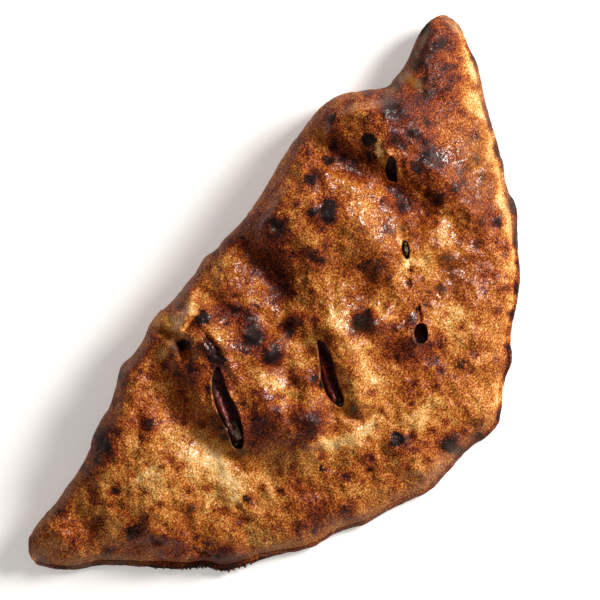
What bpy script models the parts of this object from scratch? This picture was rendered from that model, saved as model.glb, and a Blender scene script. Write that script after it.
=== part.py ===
"""A baked calzone: one disc of dough folded over its filling, pressed shut along the curved
side, with vents cut through the top. Lengths are in millimetres until a mesh is made.

Frame: X runs tip to tip, Y points to the fold, Z is up, and the calzone rests on Z = 0.
"""
import bpy
import bmesh
import numpy as np
from mathutils import Vector
from mathutils.geometry import delaunay_2d_cdt

MM = 0.001

# The outline seen from above, tip to tip along the fold and back along the sealed edge.
FOLD_EDGE = [
    (-145, 47), (-143.5, 52), (-139.5, 55), (-134, 56.2), (-118, 56.3), (-104, 56.5), (-94, 58),
    (-86, 61.3), (-74, 63), (-66, 65.6), (-57, 69.4), (-50, 68.5), (-42, 69), (-36, 70.8),
    (-28.5, 71), (-25, 69.8), (-8, 69.2), (1, 69.9), (7, 68.4), (13, 68.5), (25, 67), (44, 68.4),
    (56, 70.3), (70, 70.7), (82, 70.4), (91, 66.5), (98, 60.2), (105, 54), (109, 53.4),
    (118, 53.5), (131, 56.7), (140, 56.2), (144.4, 52)]
SEALED_EDGE = [
    (144.7, 45.5), (141, 38.5), (136, 29), (127, 18.5), (118, 6), (112.5, -1.5), (110, -5),
    (103, -12.5), (98.5, -21), (88, -30), (77, -40), (66, -46.5), (56, -51.5), (46, -59.5),
    (37, -62.5), (25, -70.2), (16, -71), (6, -68), (-8, -66.8), (-19, -65.5), (-35, -57.5),
    (-46, -53), (-55, -46.6), (-68, -41), (-80, -31.2), (-97, -19.5), (-102, -11), (-110, -2),
    (-124, 18.5), (-130.5, 26), (-138, 33), (-143.5, 42)]

# Levels and reaches of the top.
TOP_LEVEL = 34.5           # height of the middle before the swells are added
FOLD_EQUATOR = 12.0        # height of the widest point on the folded side
LIP_EQUATOR = 3.0          # height of the widest point on the sealed side
LIP_THICKNESS = 2.0        # what the lower sheet adds above its widest point
LIP_REACH = 1.4
TOP_SHEET_INSET = 2.0      # how far the upper sheet's edge stands back from the lip
TOP_SHEET_THICKNESS = 4.0
TOP_SHEET_REACH = 3.5
FOLD_REACH = 14.0          # the folded side reaches the top level this far in
SEAL_REACH = 70.0          # the sealed side rises slowly over this width
SEAL_START = 0.18          # share of that width in which the slope sets in
HORN_PLUMPNESS = 5.0       # extra thickness of the narrow tips
HORN_FOLD_REACH = 12.0
HORN_SEAL_REACH = 16.0
RELIEF_REACH = 10.0        # swells fade out this close to the outline
UNDERSIDE_REACH_SEAL = 3.0
UNDERSIDE_REACH_FOLD = 10.0

# Swells of the top: centre x and y, half length, half width, direction in degrees, rise.
SWELLS = [
    (-92, 34, 32, 20, 60, 5.0),
    (-44, 46, 14, 9, 70, 5.0),
    (-26, 46, 16, 12, 78, 7.5),
    (-47, 20, 18, 8, 65, 5.0),
    (-32, 12, 17, 9, 72, 7.5),
    (-27, -8, 9, 8, 60, 5.5),
    (-14, 23, 7, 6, 90, 4.0),
    (3, 23, 6, 5, 90, 3.5),
    (-12, 36, 6, 6, 90, 2.5),
    (-16, 4, 9, 5, 60, 3.5),
    (1, -8, 14, 7, 62, 6.0),
    (34, 47, 17, 15, 85, 7.0),
    (50, 37, 21, 15, 94, 7.5),
    (46, 12, 15, 10, 70, 5.5),
    (9.5, 7, 8, 6, 85, 3.5),
    (20.5, -2, 7, 4.5, 90, 4.0),
    (26, -5, 8, 6, 60, 4.0),
    (38, -6, 7, 6, 30, 3.0),
    (27, -22, 8, 7, 60, 5.0),
    (92, 46, 20, 17, 80, 12.0),
    (90, 14, 15, 13, 80, 6.0),
    (66, -4, 8, 7, 70, 3.2),
    (84, -9, 7, 5, 60, 3.5),
    (-7, -19, 6, 6, 60, 3.0)]

# Valleys and the pinch in the fold: route, half width, depth.
VALLEYS = [
    ([(-46, 57), (-54, 48), (-58, 36), (-59, 22), (-57, 8), (-53, -6)], 9.0, 4.6),
    ([(-11, 64), (-11, 50), (-8, 38), (-5, 30)], 4.0, 2.0),
    ([(16, 62), (13, 50), (10, 40), (5, 32)], 7.0, 4.5),
    ([(69, 68), (69, 56), (71, 44), (71, 30), (73, 18), (70, 10)], 6.5, 4.4),
    ([(75, 8), (76, -2), (78, -14)], 4.5, 1.6),
    ([(-36, 72), (-35, 64), (-33, 56), (-36, 50)], 2.5, 4.0)]

# Vents cut through the top: centre x and y, length, width, direction in degrees.
VENTS = [
    (78.7, 30.4, 11.5, 4.6, 47),
    (55.7, 5.2, 9.0, 3.4, 43),
    (31.9, -21.5, 9.4, 5.2, 37),
    (-5.0, -2.0, 30.0, 6.0, 56),
    (-43.0, 23.0, 35.0, 7.4, 56)]
VENT_SIDES = 9             # facets along each side of a vent
VENT_BLUNTNESS = 0.7       # 0.5 gives an ellipse, 1 gives sharp ends
VENT_OVERCUT = 3.0         # how far the cut passes the dough's two faces

# The room for the filling.
CAVITY_EDGE = [
    (-106, 38), (-92, 48), (-66, 56), (-30, 61), (10, 59), (50, 60), (80, 60), (94, 51),
    (104, 36), (98, 14), (80, -10), (54, -30), (20, -44), (-12, -44), (-40, -34), (-66, -16),
    (-88, 10)]
CAVITY_FLOOR = 5.0
DOUGH_THICKNESS = 5.0
SMOOTH_INSIDE = 7.0        # narrower swells don't show inside, and valleys are this wide
FILLING_GAP = 1.0
# Where the filling has sunk away under a vent: centre x and y, radius, depth.
SUNK_FILLING = [(79.3, 30.4, 11.0, 9.0), (32.5, -21.0, 10.0, 6.0)]

# Mesh fineness.
POINTS_PER_SPAN = 8
OUTLINE_SPACING = 4.6
CAVITY_SPACING = 6.0
TOP_SPACING = 4.8
INNER_TOP_SPACING = 6.5
TOP_RINGS = (0.5, 1.4, 2.3, 3.6, 5.6)
UNDERSIDE_RINGS = (1.0, 0.4, 0.1)
NORMAL_SMOOTHING = 3
EDGE_CLEARANCE = 0.6       # interior points keep this share of the spacing from the outline


def smooth_path(points, closed, steps=POINTS_PER_SPAN):
    """Points along a Catmull-Rom curve through the given points."""
    given = np.array(points, float)
    if closed:
        padded = np.vstack([given[-1], given, given[:2]])
    else:
        padded = np.vstack([2 * given[0] - given[1], given, 2 * given[-1] - given[-2]])
    path = []
    for before, start, end, after in zip(padded, padded[1:], padded[2:], padded[3:]):
        for t in np.arange(steps) / steps:
            path.append(0.5 * (2 * start + (end - before) * t
                               + (2 * before - 5 * start + 4 * end - after) * t ** 2
                               + (3 * start - before - 3 * end + after) * t ** 3))
    if not closed:
        path.append(given[-1])
    return np.array(path)


def even_loop(loop, spacing):
    """The same closed loop with evenly spaced points."""
    closed = np.vstack([loop, loop[:1]])
    travelled = np.concatenate([[0], np.cumsum(np.linalg.norm(np.diff(closed, axis=0), axis=1))])
    count = round(travelled[-1] / spacing)
    stations = travelled[-1] * np.arange(count) / count
    return np.column_stack([np.interp(stations, travelled, closed[:, axis]) for axis in (0, 1)])


def distance_to(path, points):
    """Distance from each point to a path of straight pieces."""
    start = path[:-1]
    along = path[1:] - start
    offset = points[:, None, :] - start[None, :, :]
    share = (offset * along).sum(2) / (along ** 2).sum(1)
    nearest = offset - np.clip(share, 0, 1)[..., None] * along
    return np.sqrt((nearest ** 2).sum(2).min(1))


def soft_distance_to(path, points):
    """A distance without creases: each piece of the path pulls with the fourth power."""
    pieces = np.linalg.norm(np.diff(path, axis=0), axis=1)
    middles = (path[:-1] + path[1:]) / 2
    squares = ((points[:, None, :] - middles[None, :, :]) ** 2).sum(2) + (pieces / 2) ** 2
    return (np.pi / 2 / (pieces / squares ** 2).sum(1)) ** (1 / 3)


def smooth_step(t):
    t = np.clip(t, 0, 1)
    return t * t * (3 - 2 * t)


def quarter_round(t, power=2):
    """Rises steeply from 0 and levels out at 1."""
    return (1 - (1 - np.clip(t, 0, 1)) ** power) ** (1 / power)


def soft_ramp(t):
    """A straight rise from 0 to 1 that sets in and ends gently."""
    def bent(s):
        low = np.clip(s + SEAL_START, 0, 2 * SEAL_START) ** 2 / (4 * SEAL_START)
        return low + np.clip(s - SEAL_START, 0, None)
    return np.clip((bent(t) - bent(t - 1) - bent(0)) / (1 - bent(0)), 0, 1)


OUTLINE = smooth_path(FOLD_EDGE + SEALED_EDGE, closed=True)
FOLD_END = (len(FOLD_EDGE) - 1) * POINTS_PER_SPAN
FOLD_LINE = OUTLINE[:FOLD_END + 1]
SEAL_LINE = np.vstack([OUTLINE[FOLD_END:], OUTLINE[:1]])


def relief(points, narrowest):
    """Swells and valleys of the top: narrow swells are left out, narrow valleys widened."""
    rise = np.zeros(len(points))
    for centre_x, centre_y, half_length, half_width, direction, height in SWELLS:
        if half_width < narrowest:
            continue
        turn = np.radians(direction)
        across_x = points[:, 0] - centre_x
        across_y = points[:, 1] - centre_y
        along = (across_x * np.cos(turn) + across_y * np.sin(turn)) / half_length
        aside = (across_y * np.cos(turn) - across_x * np.sin(turn)) / half_width
        rise += height * np.exp(-along ** 2 - aside ** 2)
    for route, half_width, depth in VALLEYS:
        distance = distance_to(smooth_path(route, closed=False), points)
        rise -= depth * np.exp(-(distance / max(half_width, narrowest)) ** 2)
    return rise


def fold_share(points):
    """1 along the fold, 0 along the sealed edge, smooth round the tips."""
    to_fold = soft_distance_to(FOLD_LINE, points)
    to_seal = soft_distance_to(SEAL_LINE, points)
    return smooth_step(to_seal / (to_fold + to_seal))


def equator(points):
    return LIP_EQUATOR + (FOLD_EQUATOR - LIP_EQUATOR) * fold_share(points)


def top_height(points, narrowest=0.0):
    """Height of the baked top above the surface that the calzone rests on."""
    to_fold = soft_distance_to(FOLD_LINE, points)
    to_seal = soft_distance_to(SEAL_LINE, points)
    to_edge = np.minimum(distance_to(FOLD_LINE, points), distance_to(SEAL_LINE, points))
    sealed = 1 - fold_share(points)
    lip = LIP_THICKNESS * quarter_round(to_edge / LIP_REACH)
    sheet = TOP_SHEET_THICKNESS * quarter_round((to_edge - TOP_SHEET_INSET) / TOP_SHEET_REACH)
    ramp = soft_ramp(to_seal / SEAL_REACH)
    dome = quarter_round(to_fold / FOLD_REACH, power=3) * ramp
    horn = HORN_PLUMPNESS * quarter_round(to_fold / HORN_FOLD_REACH)
    horn *= smooth_step(to_seal / HORN_SEAL_REACH) * (1 - ramp)
    rim = equator(points) + (lip + sheet) * sealed
    full_rim = equator(points) + (LIP_THICKNESS + TOP_SHEET_THICKNESS) * sealed
    fade = smooth_step(to_edge / RELIEF_REACH)
    return rim + horn + (TOP_LEVEL - full_rim) * dome + relief(points, narrowest) * fade


def roof_height(points):
    """Underside of the upper sheet of dough, which the small swells don't reach."""
    return top_height(points, narrowest=SMOOTH_INSIDE) - DOUGH_THICKNESS


def filling_height(points):
    sunk = np.zeros(len(points))
    for centre_x, centre_y, radius, depth in SUNK_FILLING:
        squares = (points[:, 0] - centre_x) ** 2 + (points[:, 1] - centre_y) ** 2
        sunk += depth * np.exp(-squares / radius ** 2)
    return roof_height(points) - FILLING_GAP - sunk


def inward_normals(loop):
    """Unit normals to the left of a loop's direction of travel, smoothed round corners."""
    chord = np.roll(loop, -NORMAL_SMOOTHING, axis=0) - np.roll(loop, NORMAL_SMOOTHING, axis=0)
    normals = np.column_stack([-chord[:, 1], chord[:, 0]])
    return normals / np.linalg.norm(normals, axis=1)[:, None]


def points_inside(loop, spacing):
    """A staggered grid of points inside the loop, clear of its edge."""
    low = loop.min(0)
    high = loop.max(0)
    row_height = spacing * np.sqrt(3) / 2
    rows = []
    for row, y in enumerate(np.arange(low[1], high[1], row_height)):
        xs = np.arange(low[0] + (row % 2) * spacing / 2, high[0], spacing)
        rows.append(np.column_stack([xs, np.full(len(xs), y)]))
    grid = np.vstack(rows)
    closed = np.vstack([loop, loop[:1]])
    inside = np.zeros(len(grid), bool)
    for (ax, ay), (bx, by) in zip(closed, closed[1:]):
        if ay != by:
            spans = (ay > grid[:, 1]) != (by > grid[:, 1])
            inside ^= spans & (grid[:, 0] < (bx - ax) * (grid[:, 1] - ay) / (by - ay) + ax)
    clear = distance_to(closed, grid) > EDGE_CLEARANCE * spacing
    return grid[inside & clear]


def fill_ring(shape, ring, inner_points, height, upwards):
    """Close a ring of vertices with triangles through the inner points."""
    flat = [Vector(vertex.co[:2]) / MM for vertex in ring]
    count = len(flat)
    flat += [Vector(point) for point in inner_points]
    edges = [(i, (i + 1) % count) for i in range(count)]
    _, _, triangles, sources, _, _ = delaunay_2d_cdt(flat, edges, [], 1, 1e-5)
    corners = list(ring)
    for point, z in zip(inner_points, height):
        corners.append(shape.verts.new((point[0] * MM, point[1] * MM, z * MM)))
    for triangle in triangles:
        a, b, c = [corners[sources[i][0]] for i in triangle]
        turn = (b.co - a.co).xy.cross((c.co - a.co).xy)
        shape.faces.new((a, b, c) if (turn > 0) == upwards else (c, b, a))


def new_object(name, shape, material):
    bmesh.ops.triangulate(shape, faces=shape.faces[:])
    bmesh.ops.recalc_face_normals(shape, faces=shape.faces[:])
    mesh = bpy.data.meshes.new(name)
    shape.to_mesh(mesh)
    shape.free()
    mesh.shade_smooth()
    mesh.materials.append(material)
    body = bpy.data.objects.new(name, mesh)
    bpy.context.collection.objects.link(body)
    return body


def stacked_body(name, rings, top, spacing, material):
    """A closed body: rings of points joined from the bottom up, a flat floor, a shaped top."""
    shape = bmesh.new()
    levels = [[shape.verts.new((x * MM, y * MM, z * MM)) for x, y, z in ring] for ring in rings]
    for lower, upper in zip(levels, levels[1:]):
        count = len(lower)
        for i in range(count):
            j = (i + 1) % count
            shape.faces.new((lower[i], lower[j], upper[j], upper[i]))
    fill_ring(shape, levels[0], [], [], upwards=False)
    inner = points_inside(rings[-1][:, :2], spacing)
    fill_ring(shape, levels[-1], inner, top(inner), upwards=True)
    return new_object(name, shape, material)


def raised(loop, z):
    return np.column_stack([loop, np.broadcast_to(z, len(loop))])


def make_material(name, colour, roughness):
    material = bpy.data.materials.new(name)
    material.use_nodes = True
    shader = material.node_tree.nodes["Principled BSDF"]
    shader.inputs["Base Color"].default_value = (*colour, 1.0)
    shader.inputs["Roughness"].default_value = roughness
    shader.inputs["Metallic"].default_value = 0.0
    return material


def cut_with(body, cutter):
    cutter.hide_render = True
    cutter.display_type = "WIRE"
    cut = body.modifiers.new(cutter.name, "BOOLEAN")
    cut.operation = "DIFFERENCE"
    cut.solver = "EXACT"
    cut.object = cutter


def make_cavity(material):
    edge = even_loop(smooth_path(CAVITY_EDGE, closed=True), CAVITY_SPACING)[::-1]
    rings = [raised(edge, CAVITY_FLOOR), raised(edge, roof_height(edge))]
    return stacked_body("cavity", rings, roof_height, INNER_TOP_SPACING, material)


def make_vent_cutter(number, vent, material):
    centre_x, centre_y, length, width, direction = vent
    turn = np.radians(direction)
    share = np.linspace(-1, 1, VENT_SIDES + 1)
    bulge = (1 - share ** 2) ** VENT_BLUNTNESS
    along = np.concatenate([share, share[-2:0:-1]]) * length / 2
    aside = np.concatenate([-bulge, bulge[-2:0:-1]]) * width / 2
    outline = np.column_stack([centre_x + along * np.cos(turn) - aside * np.sin(turn),
                               centre_y + along * np.sin(turn) + aside * np.cos(turn)])
    surface = top_height(outline)
    lowest = surface - DOUGH_THICKNESS - VENT_OVERCUT
    rings = [raised(outline, lowest.min()), raised(outline, surface.max() + VENT_OVERCUT)]
    level = rings[-1][0, 2]
    return stacked_body(f"vent_cutter_{number}", rings, lambda points: np.full(len(points), level),
                        length, material)


def make_crust(material):
    """The folded dough: rounded under its edge, thick at the fold and thin at the seal."""
    edge = even_loop(OUTLINE, OUTLINE_SPACING)[::-1]
    inward = inward_normals(edge)
    reach = UNDERSIDE_REACH_SEAL
    reach = reach + (UNDERSIDE_REACH_FOLD - UNDERSIDE_REACH_SEAL) * fold_share(edge)
    widest = equator(edge)
    rings = []
    for share in UNDERSIDE_RINGS:
        rings.append(raised(edge + inward * (reach * share)[:, None],
                            widest * (1 - quarter_round(share))))
    rings.append(raised(edge, widest))
    for inset in TOP_RINGS:
        ring = edge + inward * inset
        rings.append(raised(ring, top_height(ring)))
    crust = stacked_body("crust", rings, top_height, TOP_SPACING, material)
    cut_with(crust, make_cavity(material))
    for number, vent in enumerate(VENTS, start=1):
        cut_with(crust, make_vent_cutter(number, vent, material))
    return crust


def make_filling(material):
    """Tomato, cheese and greens, seen through the vents."""
    edge = even_loop(smooth_path(CAVITY_EDGE, closed=True), CAVITY_SPACING)[::-1]
    edge = edge + inward_normals(edge) * FILLING_GAP
    rings = [raised(edge, CAVITY_FLOOR + FILLING_GAP), raised(edge, filling_height(edge))]
    return stacked_body("filling", rings, filling_height, INNER_TOP_SPACING, material)


for old in list(bpy.data.objects):
    bpy.data.objects.remove(old)

make_crust(make_material("baked_dough", (0.36, 0.16, 0.05), 0.55))
make_filling(make_material("tomato_filling", (0.28, 0.03, 0.015), 0.4))
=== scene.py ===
"""The looks of a baked calzone: blistered crust, torn vents, glossy filling, and a plain studio.

Lengths are in millimetres until a mesh is made. X runs tip to tip, Y points to the fold, Z is up.
"""
import math

import bpy
import bmesh
import numpy as np
from mathutils import Matrix, Vector, noise
from mathutils.geometry import delaunay_2d_cdt


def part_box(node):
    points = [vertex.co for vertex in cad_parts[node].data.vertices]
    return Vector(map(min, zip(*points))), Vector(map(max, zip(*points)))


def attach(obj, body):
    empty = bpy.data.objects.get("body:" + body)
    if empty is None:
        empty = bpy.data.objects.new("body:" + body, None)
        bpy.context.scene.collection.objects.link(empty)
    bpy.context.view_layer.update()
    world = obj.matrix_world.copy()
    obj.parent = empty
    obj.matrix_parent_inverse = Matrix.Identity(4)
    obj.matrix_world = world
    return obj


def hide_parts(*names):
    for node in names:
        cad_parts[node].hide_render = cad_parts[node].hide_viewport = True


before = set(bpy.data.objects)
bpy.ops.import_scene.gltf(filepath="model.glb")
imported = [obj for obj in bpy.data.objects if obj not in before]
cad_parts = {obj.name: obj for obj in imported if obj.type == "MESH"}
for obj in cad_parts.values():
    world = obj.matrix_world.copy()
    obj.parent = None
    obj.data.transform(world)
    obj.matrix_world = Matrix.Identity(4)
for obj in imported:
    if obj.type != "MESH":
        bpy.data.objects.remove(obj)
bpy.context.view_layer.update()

MM = 0.001
SEED = 11

# ---------------------------------------------------------------- the shape, as in part.py

FOLD_EDGE = [
    (-145, 47), (-143.5, 52), (-139.5, 55), (-134, 56.2), (-118, 56.3), (-104, 56.5), (-94, 58),
    (-86, 61.3), (-74, 63), (-66, 65.6), (-57, 69.4), (-50, 68.5), (-42, 69), (-36, 70.8),
    (-28.5, 71), (-25, 69.8), (-8, 69.2), (1, 69.9), (7, 68.4), (13, 68.5), (25, 67), (44, 68.4),
    (56, 70.3), (70, 70.7), (82, 70.4), (91, 66.5), (98, 60.2), (105, 54), (109, 53.4),
    (118, 53.5), (131, 56.7), (140, 56.2), (144.4, 52)]
SEALED_EDGE = [
    (144.7, 45.5), (141, 38.5), (136, 29), (127, 18.5), (118, 6), (112.5, -1.5), (110, -5),
    (103, -12.5), (98.5, -21), (88, -30), (77, -40), (66, -46.5), (56, -51.5), (46, -59.5),
    (37, -62.5), (25, -70.2), (16, -71), (6, -68), (-8, -66.8), (-19, -65.5), (-35, -57.5),
    (-46, -53), (-55, -46.6), (-68, -41), (-80, -31.2), (-97, -19.5), (-102, -11), (-110, -2),
    (-124, 18.5), (-130.5, 26), (-138, 33), (-143.5, 42)]

TOP_LEVEL = 34.5
FOLD_EQUATOR = 12.0
LIP_EQUATOR = 3.0
LIP_THICKNESS = 2.0
TOP_SHEET_INSET = 2.0
TOP_SHEET_THICKNESS = 4.0
TOP_SHEET_REACH = 3.5
FOLD_REACH = 14.0
SEAL_REACH = 70.0
SEAL_START = 0.18
HORN_PLUMPNESS = 5.0
HORN_FOLD_REACH = 12.0
HORN_SEAL_REACH = 16.0
RELIEF_REACH = 10.0

# Swells of the top: centre x and y, half length, half width, direction in degrees, rise.
SWELLS = [
    (-92, 34, 32, 20, 60, 5.0),
    (-44, 46, 14, 9, 70, 5.0),
    (-26, 46, 16, 12, 78, 7.5),
    (-47, 20, 18, 8, 65, 5.0),
    (-32, 12, 17, 9, 72, 7.5),
    (-27, -8, 9, 8, 60, 5.5),
    (-14, 23, 7, 6, 90, 4.0),
    (3, 23, 6, 5, 90, 3.5),
    (-12, 36, 6, 6, 90, 2.5),
    (-16, 4, 9, 5, 60, 3.5),
    (1, -8, 14, 7, 62, 6.0),
    (34, 47, 17, 15, 85, 7.0),
    (50, 37, 21, 15, 94, 7.5),
    (46, 12, 15, 10, 70, 5.5),
    (9.5, 7, 8, 6, 85, 3.5),
    (20.5, -2, 7, 4.5, 90, 4.0),
    (26, -5, 8, 6, 60, 4.0),
    (38, -6, 7, 6, 30, 3.0),
    (27, -22, 8, 7, 60, 5.0),
    (92, 46, 20, 17, 80, 12.0),
    (90, 14, 15, 13, 80, 6.0),
    (66, -4, 8, 7, 70, 3.2),
    (84, -9, 7, 5, 60, 3.5),
    (-7, -19, 6, 6, 60, 3.0)]

# Valleys and the pinch in the fold: route, half width, depth.
VALLEYS = [
    ([(-46, 57), (-54, 48), (-58, 36), (-59, 22), (-57, 8), (-53, -6)], 9.0, 4.6),
    ([(-11, 64), (-11, 50), (-8, 38), (-5, 30)], 4.0, 2.0),
    ([(16, 62), (13, 50), (10, 40), (5, 32)], 7.0, 4.5),
    ([(69, 68), (69, 56), (71, 44), (71, 30), (73, 18), (70, 10)], 6.5, 4.4),
    ([(75, 8), (76, -2), (78, -14)], 4.5, 1.6),
    ([(-36, 72), (-35, 64), (-33, 56), (-36, 50)], 2.5, 4.0)]

CAVITY_EDGE = [
    (-106, 38), (-92, 48), (-66, 56), (-30, 61), (10, 59), (50, 60), (80, 60), (94, 51),
    (104, 36), (98, 14), (80, -10), (54, -30), (20, -44), (-12, -44), (-40, -34), (-66, -16),
    (-88, 10)]
CAVITY_FLOOR = 5.0
DOUGH_THICKNESS = 5.0
SMOOTH_INSIDE = 7.0

# ---------------------------------------------------------------- finer shape of the crust

# The torn vents, counted from the right: each opening's own outline.
VENTS = [
    [(75.4, 26.0), (74.5, 28.7), (75.4, 30.7), (77.1, 32.7), (79.1, 33.8), (81.4, 34.5),
     (82.7, 34.0), (82.4, 32.3), (81.1, 30.7), (79.4, 28.7), (77.7, 27.3), (76.4, 26.1)],
    [(52.7, 2.7), (53.1, 4.5), (54.4, 6.4), (56.2, 7.7), (57.8, 8.1), (58.4, 7.3), (57.9, 5.9),
     (56.7, 4.3), (55.0, 2.9), (53.6, 2.2)],
    [(28.1, -23.0), (28.3, -21.3), (29.5, -19.7), (31.1, -18.7), (33.1, -18.0), (34.8, -18.7),
     (35.5, -20.3), (34.8, -22.3), (32.8, -24.3), (30.8, -25.0), (29.1, -24.7)],
    [(-13.7, -12.0), (-13.5, -8.7), (-12.7, -5.7), (-10.7, -2.7), (-9.0, -0.3), (-7.3, 1.3),
     (-5.0, 3.3), (-2.7, 5.7), (-0.7, 7.7), (1.3, 9.7), (3.0, 10.7), (3.5, 8.7), (2.7, 6.0),
     (1.3, 3.0), (-0.3, 0.3), (-2.3, -2.3), (-4.3, -4.7), (-6.3, -7.3), (-8.0, -10.0),
     (-9.7, -12.7), (-11.7, -14.0), (-13.3, -13.8)],
    [(-54.2, 10.4), (-53.6, 12.6), (-51.8, 15.0), (-50.2, 18.0), (-48.6, 21.4), (-46.8, 25.2),
     (-44.2, 29.2), (-40.6, 33.2), (-36.6, 36.2), (-32.2, 37.4), (-32.0, 35.8), (-33.8, 33.0),
     (-36.2, 29.6), (-38.4, 25.4), (-40.2, 21.0), (-42.8, 16.8), (-46.4, 12.6), (-50.0, 9.4),
     (-52.8, 8.4)]]
LIT_TORN_SIDE = (-0.82, 0.57)          # the vents' wide pale lips face away from here, so their walls face the key light
LIP_NARROW = 0.35                  # width of a vent's rounded lip
LIP_WIDE = 0.7
LIP_STEPS = ((1.0, 0.0), (0.75, 0.12), (0.45, 0.45), (0.18, 1.1), (0.0, 2.0), (0.0, 3.4))
LIP_SWELL = 0.7                    # the dough curls up this much round a vent
LIP_SWELL_REACH = 1.9

# The filling under the vents: centre x and y, half length, half width, and depth or rise.
FILLING_GAP = 1.0
VENT_TURN = 56
SUNK_FILLING = [(79.3, 30.4, 14, 9, 3), (32.5, -21.0, 11, 9, 3), (57.6, 6.4, 9, 4, 1),
                (-2.4, -3.4, 17, 3.4, 3), (-39.6, 21.4, 20, 3.4, 3)]
# The last value says how red it is there.
RAISED_FILLING = [(-5.4, 0.8, 8, 2.3, 6.6, 1.0), (-12.0, -9.6, 4.0, 1.8, 4.5, 0.35),
                  (-45.0, 23.6, 10, 2.4, 6.0, 0.4), (-49.0, 13.6, 5, 2.4, 4.5, 0.2),
                  (55.6, 5.2, 3.6, 1.6, 4.0, 0.0)]
# Bits in the filling: x and y, depth below the crust's surface, radii, direction.
CHEESE_BITS = [(-48.5, 13.8, 2.6, (2.9, 1.4, 1.2), 62), (-47.9, 19.0, 2.8, (0.9, 0.6, 0.6), 40),
               (-50.2, 18.2, 2.6, (0.9, 0.45, 0.5), 60), (-12.6, -13.2, 2.8, (0.6, 0.5, 0.4), 10)]
# Crumbs stuck to the sealed edge, between two places along it.
CRUMBS_FROM = (-90, -25)
CRUMBS_TO = (-116, 8)
CRUMB_COUNT = 34
CRUMB_SIZE = (0.3, 0.85)
CRUMB_HEIGHTS = (1.4, 4.4)
HERB_BITS = [(-46.2, 16.9, 3.6, (1.5, 0.8, 0.5), 80), (-52.6, 11.2, 2.6, (0.9, 0.8, 0.5), 20),
             (-12.4, -9.6, 3.0, (1.2, 0.8, 0.6), 70), (-11.4, -11.8, 3.4, (0.9, 0.7, 0.5), 30),
             (55.4, 4.8, 1.8, (1.7, 1.0, 0.8), 45), (57.4, 6.4, 2.0, (1.3, 0.9, 0.7), 30),
             (59.6, 8.4, 2.2, (1.1, 0.7, 0.6), 50)]

# Narrow ridges and creases: route, half width, rise (creases have a negative rise).
RIDGES = [
    ([(-18.6, 42), (-23.0, 39.6), (-27, 35.6), (-29.6, 31)], 1.6, 0.9),
    ([(-28.8, 55), (-27.6, 50), (-28.6, 45.5)], 1.8, 1.5),
    ([(-32, 59.5), (-26, 59.6), (-20, 60.5), (-14, 65)], 1.8, 1.6),
    ([(-25.4, 48), (-25.6, 43), (-28.4, 39.6)], 1.5, -2.2),
    ([(-27.8, 57.2), (-22.5, 57.3), (-17.5, 57)], 0.9, -1.5),
    ([(-52, 12), (-49, 20), (-44, 28)], 1.4, 0.5),
    ([(-37.6, 71.5), (-36, 67), (-34, 63), (-33.2, 60), (-32.4, 57), (-34, 54), (-38, 51)], 1.3, -3.0),
    ([(53.2, 2.0), (50.8, -0.6), (48.4, -3.0)], 0.7, -1.5),
    ([(46.6, -3.6), (44.6, -5.4)], 0.8, -1.4),
    ([(58.0, 7.8), (60.4, 9.4), (63.4, 12.6)], 0.9, -1.6),
    ([(36.4, -17.6), (38.2, -15.6), (39.8, -13.4)], 0.7, -1.5),
    ([(51.8, 3.2), (49.6, 0.8), (47.4, -1.6)], 0.9, 0.6),
    ([(-98.2, -1.6), (-98.4, -5.6), (-97.2, -9.4)], 0.7, -1.5),
    ([(-13.4, -14.5), (-14.3, -19), (-12.6, -24.2), (-7, -27.6), (-3, -28)], 1.4, -0.8),
    ([(84.6, 42), (84.0, 38.8), (82.0, 35.6)], 1.6, 1.4),
    ([(-34, -13), (-30, -18), (-25, -22.5), (-18, -26), (-12, -29), (-4, -31)], 2.0, 1.0)]
DIMPLES = [
    (-29.4, 64.4, 3.0, 2.2), (-20.8, 44.8, 2.4, -0.9),
    (-73.4, -5.6, 1.2, 2.2),
    (38.4, -14.2, 0.8, 1.6),
    (50.9, -0.7, 0.7, 1.3),
    (46.6, -3.9, 0.8, 1.2)]

# Lumps all over the top: wavelength, octaves, height.
LUMPS = [(22.0, 2, 1.4), (9.0, 2, 1.1), (3.5, 2, 0.36), (1.6, 1, 0.10)]
SIDE_LUMPS = [(12.0, 2, 0.5), (4.0, 2, 0.3), (1.6, 1, 0.12)]
LIP_WAVES = [(9.0, 2, 0.55), (3.2, 2, 0.45)]
SMALL_BLISTERS = 700
SMALL_BLISTER_SIZE = (0.7, 1.9)
SMALL_BLISTER_RISE = 0.20

# Rings up the side, from the base to the edge of the top: inset and height.
SEALED_PROFILE = [
    (3.0, 0.0), (1.3, 0.15), (0.45, 0.8), (0.08, 1.8), (0.0, 3.0), (0.25, 4.0), (0.8, 4.7),
    (1.6, 5.0), (2.7, 5.05), (3.0, 5.3), (2.2, 5.7), (2.0, 6.3), (2.45, 7.2), (3.4, 8.1)]
FOLDED_INSETS = [10.0, 5.0, 1.8, 0.3, 0.0, 0.02, 0.08, 0.2, 0.45, 0.8, 1.3, 2.0, 2.8, 3.7]
EQUATOR_RING = 4
GROOVE_RINGS = (8, 9)
UPPER_SHEET_RINGS = (10, 11, 12, 13)
TOP_RINGS = (4.7, 5.8)
FOLDED_UNDERSIDE = 10.0
# Where the upper sheet stands back from the lip: centre x and y, half length, how far.
OPEN_SEAMS = [(-108, -4, 16, 1.5), (-88, -25, 12, 0.9), (-122, 16, 9, 0.8), (74, -41, 9, 0.7),
              (95, -23, 8, 0.7), (56, -52, 8, 0.5), (-30, -60, 20, 0.3)]

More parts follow.
